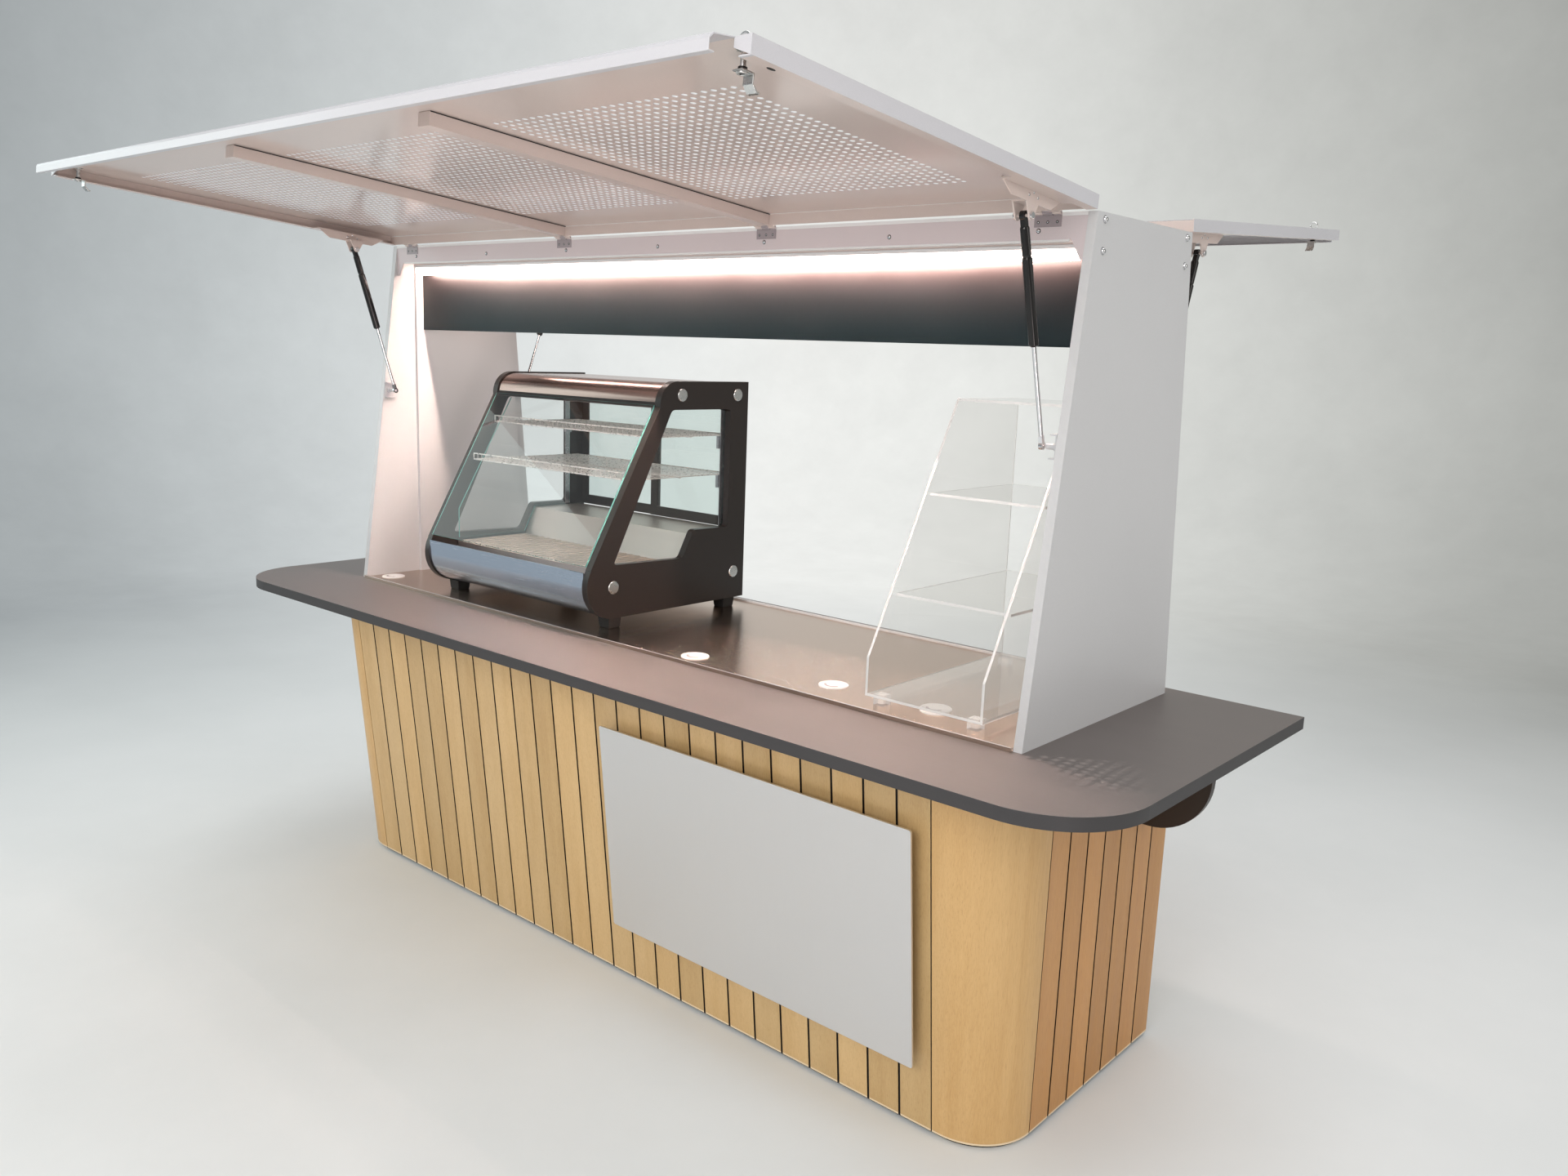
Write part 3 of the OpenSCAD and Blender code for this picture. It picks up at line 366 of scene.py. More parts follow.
FLAP_WHITE = (0.58, 0.57, 0.59)
# Warm beige copy of the white flap paint: painted warm light on the underside.
FLAP_UNDER_PAINTED_LIGHT = (0.66, 0.555, 0.510)
front_pitch = 2 * BOARDS_X / FRONT_BOARDS
end_pitch = (END_BOARDS_Y[1] - END_BOARDS_Y[0]) / END_BOARDS
rear_pitch = 2 * REAR_BOARDS_X / REAR_BOARDS
ONE_BOARD = (-4.0, 8.0)
materials = {
    "front_wood": wood("front_wood", 0, -BOARDS_X, front_pitch, in_front_groove),
    "rear_wood": wood("rear_wood", 0, -REAR_BOARDS_X, rear_pitch, in_rear_groove),
    # Painted shade and warm light: the end boards are the same wood, in a darker, more orange tone for
    # the light on that side.
    "end_wood_shaded": wood("end_wood_shaded", 1, END_BOARDS_Y[0], end_pitch, in_end_groove, (0.88, 0.66, 0.46)),
    "corner_wood": wood("corner_wood", 0, *ONE_BOARD, tone=(1.03, 0.96, 0.86)),
    "plinth": painted("plinth", (0.02, 0.016, 0.013), 0.6),
    "bracket": painted("bracket", (0.030, 0.020, 0.016), 0.42),
    "sign": brushed("sign", (0.82, 0.81, 0.81), 0.42, (1, 1, 0.12), 0.008),
    "top": laminate("top", (0.042, 0.039, 0.040), (0.262, 0.232, 0.222), 0.48),
    # Painted light: the worktop's warm tan tint stands in for the tube's warm light reflected in the
    # steel.
    "worktop": brushed("worktop", (0.63, 0.505, 0.42), 0.25, tint=0.015, across=(0, 1, 0),
                       relief=0.001, vary=0.006),
    "steel": brushed("steel", (0.60, 0.62, 0.65), 0.24),
    # Painted reflection: the case steel's blue tint stands in for cool light reflected in it.
    "case_steel": brushed("case_steel", (0.74, 0.83, 0.98), 0.24, tint=0.012, relief=0.008),
    # Painted reflection: the cover's copper-pink tint stands in for the warm flap underside reflected
    # in it.
    "case_cover_painted_reflection": brushed("case_cover_painted_reflection", (0.42, 0.30, 0.265), 0.20, tint=0.015, relief=0.008),
    "case_tray": brushed("case_tray", (0.86, 0.79, 0.73), 0.42, tint=0.03, relief=0.01),
    "grommet": painted("grommet", (0.80, 0.80, 0.78), 0.4),
    "panel": painted("panel", (0.575, 0.57, 0.57), 0.34),
    "header": painted("header", (0.66, 0.575, 0.58), 0.36),
    # Bright paint for painted highlights and painted light on thin edges and lips.
    "painted_highlight": painted("painted_highlight", (0.82, 0.80, 0.79), 0.25),
    "flap": painted("flap", FLAP_WHITE, 0.24),
    # Painted light: the sheet's underside and the frame's inner faces take the warm beige copy of the
    # flap paint.
    "flap_under_painted_light": painted("flap_under_painted_light", FLAP_UNDER_PAINTED_LIGHT, 0.14),
    "flap_frame": painted("flap_frame", FLAP_UNDER_PAINTED_LIGHT, 0.22, other=FLAP_WHITE, where=flap_outside),
    "valance": anodized("valance", (0.006, 0.013, 0.016), (0.010, 0.0065, 0.0065), 0.42),
    "light": near_glow("light", (1.0, 0.77, 0.68), 290.0),
    "zinc": painted("zinc", (0.50, 0.50, 0.51), 0.34),
    "hinge": painted("hinge", (0.34, 0.29, 0.30), 0.32),
    # Painted glow: the housing shines faintly for the tube's light on it.
    "housing": glow("housing", (0.74, 0.64, 0.60), (1.0, 0.76, 0.68), 0.10),
    "black_gloss": painted("black_gloss", (0.008, 0.007, 0.007), 0.16),
    "chrome": polished("chrome", (0.78, 0.78, 0.80), 0.12),
    "satin_steel": polished("satin_steel", (0.72, 0.72, 0.71), 0.28),
    "case_black": painted("case_black", (0.020, 0.015, 0.013), 0.30),
    "rubber": painted("rubber", (0.012, 0.012, 0.012), 0.6),
    "wire": plated("wire", (0.93, 0.91, 0.88), 0.30),
    "glass": glassy("glass", (0.975, 0.99, 0.985)),
    "door_glass": glassy("door_glass", (0.80, 0.89, 0.87)),
    "acrylic": glassy("acrylic", (0.958, 0.948, 0.935), ior=1.49),
    # Painted glow: the clear blocks and the sawn edges shine faintly, for light caught in the acrylic.
    "acrylic_block_painted_glow": glow("acrylic_block_painted_glow", (0.99, 0.97, 0.95), (1.0, 0.96, 0.93), 0.06, 0.12, 0.85),
    "glass_edge": painted("glass_edge", (0.20, 0.52, 0.46), 0.15),
    "acrylic_edge_painted_glow": glow("acrylic_edge_painted_glow", (0.95, 0.94, 0.92), (1.0, 0.96, 0.93), 0.05, 0.25, 0.30),
}


def round_edges(piece, width):
    """Small rounding of a piece's sharp edges."""
    rounding = piece.modifiers.new("rounding", "BEVEL")
    rounding.width = width
    rounding.segments = 2
    rounding.limit_method = "ANGLE"
    rounding.angle_limit = math.radians(40)


def dress(node, material, bevel=0.0):
    """A CAD node keeps its shape and gets a material, and a small rounding on its sharp edges."""
    piece = nodes[node]
    piece.data.materials.clear()
    piece.data.materials.append(materials[material])
    if bevel:
        round_edges(piece, bevel)


dress("plinth", "plinth")
dress("overhang_brackets", "bracket", 0.002)
dress("sign_board", "sign", 0.0008)
dress("countertop", "top", 0.002)
dress("worktop", "worktop", 0.0006)
dress("roof_panel", "panel", 0.001)
dress("led_housing", "housing", 0.001)
dress("led_diffuser", "light")
dress("valance", "valance", 0.001)
dress("strut_brackets", "zinc", 0.0006)
dress("case_floor", "case_tray", 0.001)
dress("case_lower_front", "case_steel")
dress("case_top_cover", "case_cover_painted_reflection")
dress("case_rear_doors", "case_black", 0.001)
for side in ("left", "right"):
    dress(f"{side}_cladding", "end_wood_shaded")
    dress(f"{side}_corner", "corner_wood")
    dress(f"{side}_panel", "panel", 0.001)
    dress(f"case_{side}_end", "case_black", 0.001)
for way in ("front", "rear"):
    dress(f"{way}_cladding", f"{way}_wood")
    dress(f"{way}_header", "header", 0.001)
    dress(f"{way}_hinges", "hinge")
    dress(f"{way}_flap_frame", "flap_frame", 0.0007)
    for side in ("left", "right"):
        dress(f"{way}_{side}_cylinder", "black_gloss", 0.001)
        dress(f"{way}_{side}_rod", "chrome", 0.0006)


# Mesh helpers

def angles(count):
    """Angles of the corners of a round outline."""
    return [2 * math.pi * k / count for k in range(count)]


class Solids:
    """Collects solids in one mesh, which becomes one piece riding on one body."""

    def __init__(self, place=None):
        self.mesh = bmesh.new()
        self.place = place or Matrix()
        self.index = 0

    def face(self, verts):
        """One face with the material of the current index."""
        made = self.mesh.faces.new(verts)
        made.material_index = self.index
        return made

    def loft(self, rings):
        """Skin over rings of points that have the same count, closed at both ends."""
        grid = [[self.mesh.verts.new(self.place @ Vector(p)) for p in ring] for ring in rings]
        for a, b in zip(grid, grid[1:]):
            for i in range(len(a)):
                j = (i + 1) % len(a)
                self.face((a[i], a[j], b[j], b[i]))
        self.face(list(reversed(grid[0])))
        self.face(grid[-1])

    def box(self, low, high):
        (x0, y0, z0), (x1, y1, z1) = low, high
        self.loft([[(x0, y0, z), (x1, y0, z), (x1, y1, z), (x0, y1, z)] for z in (z0, z1)])

    def prism_x(self, outline, x0, x1):
        """Outline in (y, z), swept along X."""
        self.loft([[(x, y, z) for y, z in outline] for x in (x0, x1)])

    def prism_z(self, outline, z0, z1):
        """Outline in (x, y), swept along Z."""
        self.loft([[(x, y, z) for x, y in outline] for z in (z0, z1)])

    def turned(self, base, axis, profile, sides):
        """Profile of (distance along the axis, radius), turned round the axis from base."""
        axis = Vector(axis).normalized()
        side = axis.orthogonal().normalized()
        other = axis.cross(side)
        self.loft([[Vector(base) + axis * along + (side * math.cos(a) + other * math.sin(a)) * radius
                    for a in angles(sides)] for along, radius in profile])

    def tube(self, points, radius, sides=8):
        """Round wire through points, with its ends closed."""
        points = [Vector(p) for p in points]
        rings = []
        for i, point in enumerate(points):
            ahead = points[min(i + 1, len(points) - 1)] - points[max(i - 1, 0)]
            ahead.normalize()
            side = ahead.cross(Vector((0.31, 0.17, 0.93))).normalized()
            other = ahead.cross(side)
            rings.append([point + (side * math.cos(a) + other * math.sin(a)) * radius
                          for a in angles(sides)])
        self.loft(rings)

    def piece(self, name, body, slot, looks, bevel=0.0, replaces=(), smooth=False):
        """Ends the mesh and makes it a piece that rides on a body, with its materials by name."""
        bmesh.ops.recalc_face_normals(self.mesh, faces=self.mesh.faces)
        data = bpy.data.meshes.new(name)
        self.mesh.to_mesh(data)
        self.mesh.free()
        for look in looks:
            data.materials.append(materials[look])
        if smooth:
            data.shade_smooth()
            data.set_sharp_from_angle(angle=math.radians(35))
        made = bpy.data.objects.new(name, data)
        bpy.context.scene.collection.objects.link(made)
        if bevel:
            round_edges(made, bevel)
        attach(made, body)
        if replaces:
            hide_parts(*replaces)
        return made


# Flaps: perforated sheets with rolled noses, in each flap's own frame

FLAPS = {
    "front": {"length": 0.983, "tilt": 5.2, "hinge_y": -0.207, "way": 1, "field_end": 0.822},
    "rear": {"length": 0.958, "tilt": 4.0, "hinge_y": 0.239, "way": -1, "field_end": 0.800},
}
FLAP_TOP = 0.029
SHEET_THICK = 0.0012
SHEET_HALF = 1.2227
REAR_WALL = 0.007
NOSE_HALF = 1.1927
NOSE_REACH = 0.048
HOLE_PITCH_X = 0.0212
HOLE_PITCH_Y = 0.0200
HOLE_RADIUS = 0.0056
HOLE_SIDES = 12
FIELD_STARTS = (-1.100, -0.335, 0.425)
FIELD_COLUMNS = 29
FIELD_ROWS = 33


def flap_place(flap):
    """From the flap's own frame, with its origin on the hinge line, to the stall's frame."""
    lift = Matrix.Translation((0, flap["hinge_y"], ROOF_Z))
    turn = Matrix.Diagonal((1, flap["way"], 1, 1))
    return lift @ turn @ Matrix.Rotation(-math.radians(flap["tilt"]), 4, "X")


def perforated_mesh(flap):
    """Points and faces of the flat sheet: a grid with a round hole in each cell of the three fields."""
    xs, open_x = [-SHEET_HALF], []
    for start in FIELD_STARTS:
        for i in range(FIELD_COLUMNS + 1):
            open_x.append(i > 0)
            xs.append(start + i * HOLE_PITCH_X)
    xs.append(SHEET_HALF)
    open_x.append(False)
    rows = [-flap["field_end"] + i * HOLE_PITCH_Y for i in range(FIELD_ROWS + 1)]
    ys = [-flap["length"], *rows, -REAR_WALL]
    points, faces = [], []
    levels = (FLAP_TOP, FLAP_TOP - SHEET_THICK)
    for z in levels:
        points.extend((x, y, z) for y in ys for x in xs)
    layer = len(xs) * len(ys)
    quarter = HOLE_SIDES // 4
    ring = [(HOLE_RADIUS * math.cos(a), HOLE_RADIUS * math.sin(a))
            for a in (2 * math.pi * (k / HOLE_SIDES - 0.125) for k in range(HOLE_SIDES))]
    for row in range(len(ys) - 1):
        for column in range(len(xs) - 1):
            at = row * len(xs) + column
            corners = (at + 1, at + 1 + len(xs), at + len(xs), at)
            if not (open_x[column] and 0 < row < len(ys) - 2):
                faces.append(tuple(corners))
                faces.append(tuple(layer + c for c in reversed(corners)))
                continue
            x = (xs[column] + xs[column + 1]) / 2
            y = (ys[row] + ys[row + 1]) / 2
            top = len(points)
            for z in levels:
                points.extend((x + dx, y + dy, z) for dx, dy in ring)
            low = top + HOLE_SIDES
            for q in range(4):
                a, b = corners[q], corners[(q + 1) % 4]
                arc = [(quarter * q + k) % HOLE_SIDES for k in range(quarter, -1, -1)]
                faces.append((a, b, *(top + k for k in arc)))
                faces.append((layer + b, layer + a, *(low + k for k in reversed(arc))))
            for k in range(HOLE_SIDES):
                after = (k + 1) % HOLE_SIDES
                faces.append((top + k, top + after, low + after, low + k))
    across, along = len(xs), len(ys)
    rim = ([(i, i + 1) for i in range(across - 1)]
           + [(across * j + across - 1, across * (j + 1) + across - 1) for j in range(along - 1)]
           + [(across * along - 1 - i, across * along - 2 - i) for i in range(across - 1)]
           + [(across * (j + 1), across * j) for j in reversed(range(along - 1))])
    faces.extend((b, a, layer + a, layer + b) for a, b in rim)
    return points, faces


def nose_outline(length):
    """Rolled front edge of a flap in (y, z), open below like the folded sheet."""
    tip = -length - NOSE_REACH
    return [(-length, 0.0290), (tip + 0.008, 0.0230), (tip + 0.002, 0.0190), (tip, 0.0140),
            (tip, -0.0020), (tip + 0.012, -0.0020), (tip + 0.012, 0.0), (tip + 0.002, 0.0),
            (tip + 0.002, 0.0130), (tip + 0.009, 0.0210), (-length, 0.0270)]


def make_sheet(way, flap):
    """Perforated sheet, whose underside takes a warm beige copy of the same paint as painted light, and
    its rolled nose.
    """
    place = flap_place(flap)
    points, faces = perforated_mesh(flap)
    data = bpy.data.meshes.new(f"{way}_perforated_sheet")
    data.from_pydata([place @ Vector(p) for p in points], [], faces)
    shape = bmesh.new()
    shape.from_mesh(data)
    bmesh.ops.recalc_face_normals(shape, faces=shape.faces)
    shape.to_mesh(data)
    shape.free()
    data.materials.append(materials["flap"])
    data.materials.append(materials["flap_under_painted_light"])
    # Faces turned down take the underside's painted warm light.
    for face in data.polygons:
        face.material_index = 1 if face.normal.z < -0.5 else 0
    sheet = bpy.data.objects.new(f"{way}_perforated_sheet", data)
    bpy.context.scene.collection.objects.link(sheet)
    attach(sheet, f"{way}_flap")
    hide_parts(f"{way}_flap_sheet")
    nose = Solids(place)
    nose.prism_x(nose_outline(flap["length"]), -NOSE_HALF, NOSE_HALF)
    made = nose.piece(f"{way}_nose", f"{way}_flap", "flap", ["flap"], bevel=0.0008)
    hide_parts(f"{way}_flap_sheet")


def screw(solids, base, axis, radius, height=0.0012):
    """Small domed screw head."""
    solids.turned(base, axis, [(0, radius), (height * 0.5, radius), (height, radius * 0.72),
                               (height * 1.25, radius * 0.3)], 14)


PLATE_SCREWS = ((-0.150, -0.006), (-0.166, 0.001), (-0.182, -0.006))
PLATE_SCREW_R = 0.0032
PLATE_INNER_X = 1.178
PLATE_OUTER_X = 1.181
BOLT_AT = (-0.166, -0.040)
BOLT_PRONG = 0.0160
BOLT_HEAD = ((0, 0.0069), (0.0034, 0.0069), (0.0043, 0.0058), (0.0045, 0.0030))
DRAIN_X = 1.2075
DRAIN_BACK = 0.058
DRAIN_ACROSS = 0.0038
DRAIN_ALONG = 0.0085
DRAIN_Z = (0.0016, 0.0021)
RIB_SEAM_OUT = (0.0180, 0.0187)
RIB_SEAM_BACK = 0.063
RIB_SEAM_Z = (0.0256, 0.0272)


def make_flap_fittings(way, flap):
    """Screws of the strut plates, heads of the strut bolts, drain holes drawn as dark discs of painted
    shade, and seams of the ribs.
    """
    screws = Solids(flap_place(flap))
    dark = Solids(flap_place(flap))
    for side in (-1, 1):
        for y, z in PLATE_SCREWS:
            screw(screws, (side * PLATE_INNER_X, y, z), (-side, 0, 0), PLATE_SCREW_R)
            screw(screws, (side * PLATE_OUTER_X, y, z), (side, 0, 0), PLATE_SCREW_R)
        for out in (-1, 1):
            head = (side * STRUT_X + out * BOLT_PRONG, *BOLT_AT)
            screws.turned(head, (out, 0, 0), BOLT_HEAD, 20)
        drain_y = -flap["length"] + DRAIN_BACK
        # Each drain hole is a dark disc of painted shade.
        dark.prism_z([(side * DRAIN_X + DRAIN_ACROSS * math.cos(a), drain_y + DRAIN_ALONG * math.sin(a))
                      for a in angles(20)], *DRAIN_Z)
    for x in RIB_XS:
        for out in (-1, 1):
            x0, x1 = sorted(x + out * edge for edge in RIB_SEAM_OUT)
            front = -flap["length"] + RIB_SEAM_BACK
            dark.box((x0, front, RIB_SEAM_Z[0]), (x1, -REAR_WALL - 0.002, RIB_SEAM_Z[1]))
    screws.piece(f"{way}_flap_screws", f"{way}_flap", "zinc", ["chrome"], smooth=True)
    dark.piece(f"{way}_flap_seams", f"{way}_flap", "flap", ["rubber"])


LATCH_X = 1.170
LATCH_BACK = 0.042
ROSETTE = ((0, 0.0110), (0.0015, 0.0110), (0.0030, 0.0096))
RING_R = 0.009
RING_WIRE = 0.0020
RING_LIFT = 0.012
SPINDLE_TOP = 0.0276
SPINDLE = ((0, 0.0120), (0.0016, 0.0116), (0.0020, 0.0045), (0.0300, 0.0045))
NUT_TOP = -0.0024
NUT = ((0, 0.0088), (0.0022, 0.0088), (0.0030, 0.0080), (0.0030, 0.0052), (0.0020, 0.0046))
COLLAR_TOP = 0.0045
COLLAR = ((0, 0.0066), (0.0043, 0.0066))
SLOT_HALF = (0.0042, 0.0008)
SLOT_Z = (-0.0053, -0.0043)
HOOK_HALF = 0.0095
HOOK = ((-0.0100, 0.0), (0.0145, 0.0), (0.0145, -0.0140), (0.0225, -0.0222), (0.0270, -0.0235),
        (0.0270, -0.0258), (0.0215, -0.0250), (0.0122, -0.0150), (0.0122, -0.0024), (-0.0100, -0.0024))


def make_latches(way, flap):
    """Turn latches: ring on a rosette above the sheet, spindle with its nut, and a bent hook plate."""
    latches = Solids(flap_place(flap))
    dark = Solids(flap_place(flap))
    y = -flap["length"] + LATCH_BACK
    for x in (-LATCH_X, LATCH_X):
        latches.turned((x, y, FLAP_TOP), (0, 0, 1), ROSETTE, 32)
        ring = [(x + RING_R * math.sin(a), y, FLAP_TOP + RING_LIFT - RING_R * math.cos(a))
                for a in (*angles(32), 2 * math.pi)]
        latches.tube(ring, RING_WIRE, 10)
        latches.turned((x, y, SPINDLE_TOP), (0, 0, -1), SPINDLE, 28)
        latches.turned((x, y, NUT_TOP), (0, 0, -1), NUT, 28)
        dx, dy = SLOT_HALF
        # The slot in the spindle is a dark box of painted shade.
        dark.box((x - dx, y - dy, SLOT_Z[0]), (x + dx, y + dy, SLOT_Z[1]))
        dark.turned((x, y, COLLAR_TOP), (0, 0, -1), COLLAR, 24)
        latches.prism_x([(y + along, z) for along, z in HOOK], x - HOOK_HALF, x + HOOK_HALF)
    latches.piece(f"{way}_latches", f"{way}_flap", "latch", ["satin_steel"], bevel=0.0004,
                  replaces=[f"{way}_flap_latches"], smooth=True)
    dark.piece(f"{way}_latch_slots", f"{way}_flap", "latch", ["rubber"])


for way, flap in FLAPS.items():
    make_sheet(way, flap)
    make_flap_fittings(way, flap)
    make_latches(way, flap)


# Screws, bolts and hinge details on the frame

PANEL_BOLT_YS = (-0.175, 0.207)
PANEL_BOLT_ZS = (1.940, 1.881)
BOLT_WASHER = ((0, 0.0080), (0.0012, 0.0080), (0.0016, 0.0075))
BOLT_DOME = ((0.0014, 0.0061), (0.0034, 0.0059), (0.0056, 0.0044), (0.0066, 0.0026))
BOLT_TIP = ((0.0066, 0.0026), (0.0067, 0.0001))
HEADER_SCREW_PITCH = 0.366
HEADER_SCREW_Z = 1.9205
HEADER_SCREW_R = 0.0038
# Dark rings of painted shade round the screws, where the countersinks are.
COUNTERSINK = ((0, 0.0052), (0.0003, 0.0050))
LEAF_SCREW_XS = (-0.021, 0.0, 0.021)
LEAF_SCREW_Z = 1.9365
LEAF_SCREW_R = 0.0015
LEAF_THICK = 0.0015
LEAF_COUNTERSINK = ((0, 0.0030), (0.0003, 0.0028))
LEAF_HALF = 0.0308
# Painted highlight strip along the top fold of each header, and a painted lit strip on the lip below.
HEADER_HIGHLIGHT_HALF = 1.2045
HEADER_HIGHLIGHT_Z = (1.9468, 1.9538)
HEADER_HIGHLIGHT_THICK = 0.0011
LIP_HALF = 1.168
LIP_Z = (1.8985, 1.9028)
LIP_DEPTH = 0.0190
LAMP_LIP_YS = (-0.1690, -0.1365)
LAMP_LIP_HALF = 1.166
LAMP_LIP_THICK = 0.0015
LAMP_LIP_Z = (1.8885, 1.8965)


def make_bolts():
    """Domed bolts through the side panels into the headers."""
    bolts = Solids()
    for side in (-1, 1):
        for y in PANEL_BOLT_YS:
            for z in PANEL_BOLT_ZS:
                base = (side * SIDE_X, y, z)
                for profile, sides in ((BOLT_WASHER, 28), (BOLT_DOME, 24), (BOLT_TIP, 6)):
                    bolts.turned(base, (side, 0, 0), profile, sides)
    bolts.piece("panel_bolts", "root", "zinc", ["chrome"], smooth=True)


def make_header_screws():
    """Screws in the headers and in the hinges' leaves, each in a dark ring of painted shade for its
    countersink.
    """
    screws = Solids()
    dark = Solids()
    for y, way in HEADER_FACES:
        for step in range(-3, 4):
            x = step * HEADER_SCREW_PITCH
            dark.turned((x, y, HEADER_SCREW_Z), (0, way, 0), COUNTERSINK, 20)
            screw(screws, (x, y + way * 0.0002, HEADER_SCREW_Z), (0, way, 0), HEADER_SCREW_R, 0.0014)
        face = y + way * LEAF_THICK
        for hinge_x in HINGE_XS:
            for dx in LEAF_SCREW_XS:
                x = hinge_x + dx
                dark.turned((x, face, LEAF_SCREW_Z), (0, way, 0), LEAF_COUNTERSINK, 16)
                screw(screws, (x, face + way * 0.0001, LEAF_SCREW_Z), (0, way, 0), LEAF_SCREW_R, 0.0005)
    screws.piece("header_screws", "root", "zinc", ["chrome"], smooth=True)
    dark.piece("header_countersink_shade", "root", "zinc", ["rubber"])


def make_header_highlights():
    """Painted highlight strips along the headers' folded upper edges, cut out at the hinges, and
    painted light on the lips below them.
    """
    painted_highlight = Solids()
    ends = [-HEADER_HIGHLIGHT_HALF, *(x + side * LEAF_HALF for x in HINGE_XS for side in (-1, 1)), HEADER_HIGHLIGHT_HALF]
    for y, way in HEADER_FACES:
        y0, y1 = sorted((y, y + way * HEADER_HIGHLIGHT_THICK))
        for a, b in zip(ends[::2], ends[1::2]):
            painted_highlight.box((a, y0, HEADER_HIGHLIGHT_Z[0]), (b, y1, HEADER_HIGHLIGHT_Z[1]))
        y0, y1 = sorted((y + way * 0.0006, y - way * LIP_DEPTH))
        painted_highlight.box((-LIP_HALF, y0, LIP_Z[0]), (LIP_HALF, y1, LIP_Z[1]))
    painted_highlight.piece("header_highlights", "root", "panel", ["painted_highlight"], bevel=0.0005)


def make_light_profile():
    """Thin aluminium lips of the light's housing beside the glowing tube, in bright paint that stands
    in for the tube's light on them.
    """
    lips = Solids()
    for y in LAMP_LIP_YS:
        lips.box((-LAMP_LIP_HALF, y, LAMP_LIP_Z[0]), (LAMP_LIP_HALF, y + LAMP_LIP_THICK, LAMP_LIP_Z[1]))
    lips.piece("light_profile", "root", "zinc", ["painted_highlight"], bevel=0.0003)


make_bolts()
make_header_screws()
make_header_highlights()
make_light_profile()


# Worktop details

WORKTOP_Z = 0.904
RIM_Z = 0.909
RIM_HALF = 1.2036
# Thickness of the painted highlight strips on the rims.
RIM_HIGHLIGHT_THICK = 0.0004
FRONT_FOLD_Y = (-0.3499, -0.3480)
REAR_FOLD_Y = (0.3236, 0.3240, 0.3316)
GROMMETS = ((-1.150, -0.278), (0.250, -0.285), (0.658, -0.234), (0.943, -0.229))
CAP = ((0, 0.0358), (0.0016, 0.0358), (0.0028, 0.0345), (0.0030, 0.0300), (0.0024, 0.0290),
       (0.0024, 0.0060))
CAP_SLOT_RADII = (0.0225, 0.0165)
CAP_SLOT_Z = (0.0020, 0.0027)


def make_grommets():
    """White caps with a rounded rim, and a curved cable slot drawn as a dark strip of painted shade."""
    caps = Solids()
    arc = [math.radians(200 + 14 * k) for k in range(11)]
    for x, y in GROMMETS:
        caps.turned((x, y, WORKTOP_Z), (0, 0, 1), CAP, 48)
        # The cable slot is a dark strip of painted shade on the cap.
        caps.index = 1
        outer, inner = ([(x + r * math.cos(a), y + r * math.sin(a)) for a in arc]
                        for r in CAP_SLOT_RADII)
        caps.prism_z(outer + inner[::-1], WORKTOP_Z + CAP_SLOT_Z[0], WORKTOP_Z + CAP_SLOT_Z[1])
        caps.index = 0
    caps.piece("grommet_caps", "root", "grommet", ["grommet", "hinge"], replaces=["cable_grommets"],
               smooth=True)


def make_rim_highlights():
    """Painted highlights on the folds: a line on top of the front rim, and the rear rim's inner and
    upper faces.
    """
    rims = Solids()
    top = RIM_Z + RIM_HIGHLIGHT_THICK
    rims.box((-RIM_HALF, FRONT_FOLD_Y[0], RIM_Z), (RIM_HALF, FRONT_FOLD_Y[1], top))
    rims.box((-RIM_HALF, REAR_FOLD_Y[0], WORKTOP_Z), (RIM_HALF, REAR_FOLD_Y[1], top))
    rims.box((-RIM_HALF, REAR_FOLD_Y[1], RIM_Z), (RIM_HALF, REAR_FOLD_Y[2], top))
    rims.piece("worktop_rim_highlights", "root", "steel", ["painted_highlight"])


make_grommets()
make_rim_highlights()


# Display case, from its own corner: X from its middle, Y from its front, Z from the worktop

CASE = Matrix.Translation((-0.498, -0.332, WORKTOP_Z))
CASE_HALF = 0.383
CASE_IN = 0.361
CASE_DEPTH = 0.611
CASE_H = 0.673
CASE_CAPS = ((0.340, 0.635), (0.566, 0.635), (0.566, 0.110), (0.092, 0.116))
CASE_CAP = ((0, 0.0175), (0.0010, 0.0180), (0.0022, 0.0172), (0.0028, 0.0150), (0.0030, 0.0080))
FOOT_X = CASE_HALF - 0.029
FOOT_YS = (0.105, CASE_DEPTH - 0.053)
FOOT = ((0, 0.0190), (0.004, 0.0205), (0.030, 0.0229))
GLASS_T = 0.005
PANE_LOW = Vector((0.012, 0.170))
PANE_HIGH = Vector((0.258, CASE_H - 0.068))
PANE_ALONG = (PANE_HIGH - PANE_LOW).normalized()
PANE_OUT = Vector((-PANE_ALONG.y, PANE_ALONG.x))
PANE_GAPS = (0.008, 0.001)
SIDE_PANE = ((0.310, CASE_H - 0.082), (0.545, CASE_H - 0.082), (0.545, 0.240), (0.402, 0.240),
             (0.358, 0.160), (0.110, 0.160), (0.110, 0.250))
PANE_FACE_AREA = 0.02
DOOR_PANES = ((1, CASE_DEPTH - 0.0165), (-1, CASE_DEPTH - 0.0075))
DOOR_PANE_X = (0.0153, CASE_IN - 0.0303)
DOOR_PANE_Z = (0.266, CASE_H - 0.039)
SHELVES = ((0.242, 0.517), (0.162, 0.402))
SHELF_BACK = 0.578
SHELF_HALF = CASE_IN - 0.010
SHELF_LIP = 0.018
SHELF_ROD = 0.0020
CROSS_WIRE = 0.0010
CROSS_WIRES = 34
UPRIGHT_X = (CASE_IN - 0.0075, CASE_IN - 0.0055)
UPRIGHT_Y = (0.524, 0.542)
UPRIGHT_Z = (0.240, CASE_H - 0.080)
CLIP_X = (CASE_IN - 0.0175, CASE_IN - 0.0075)
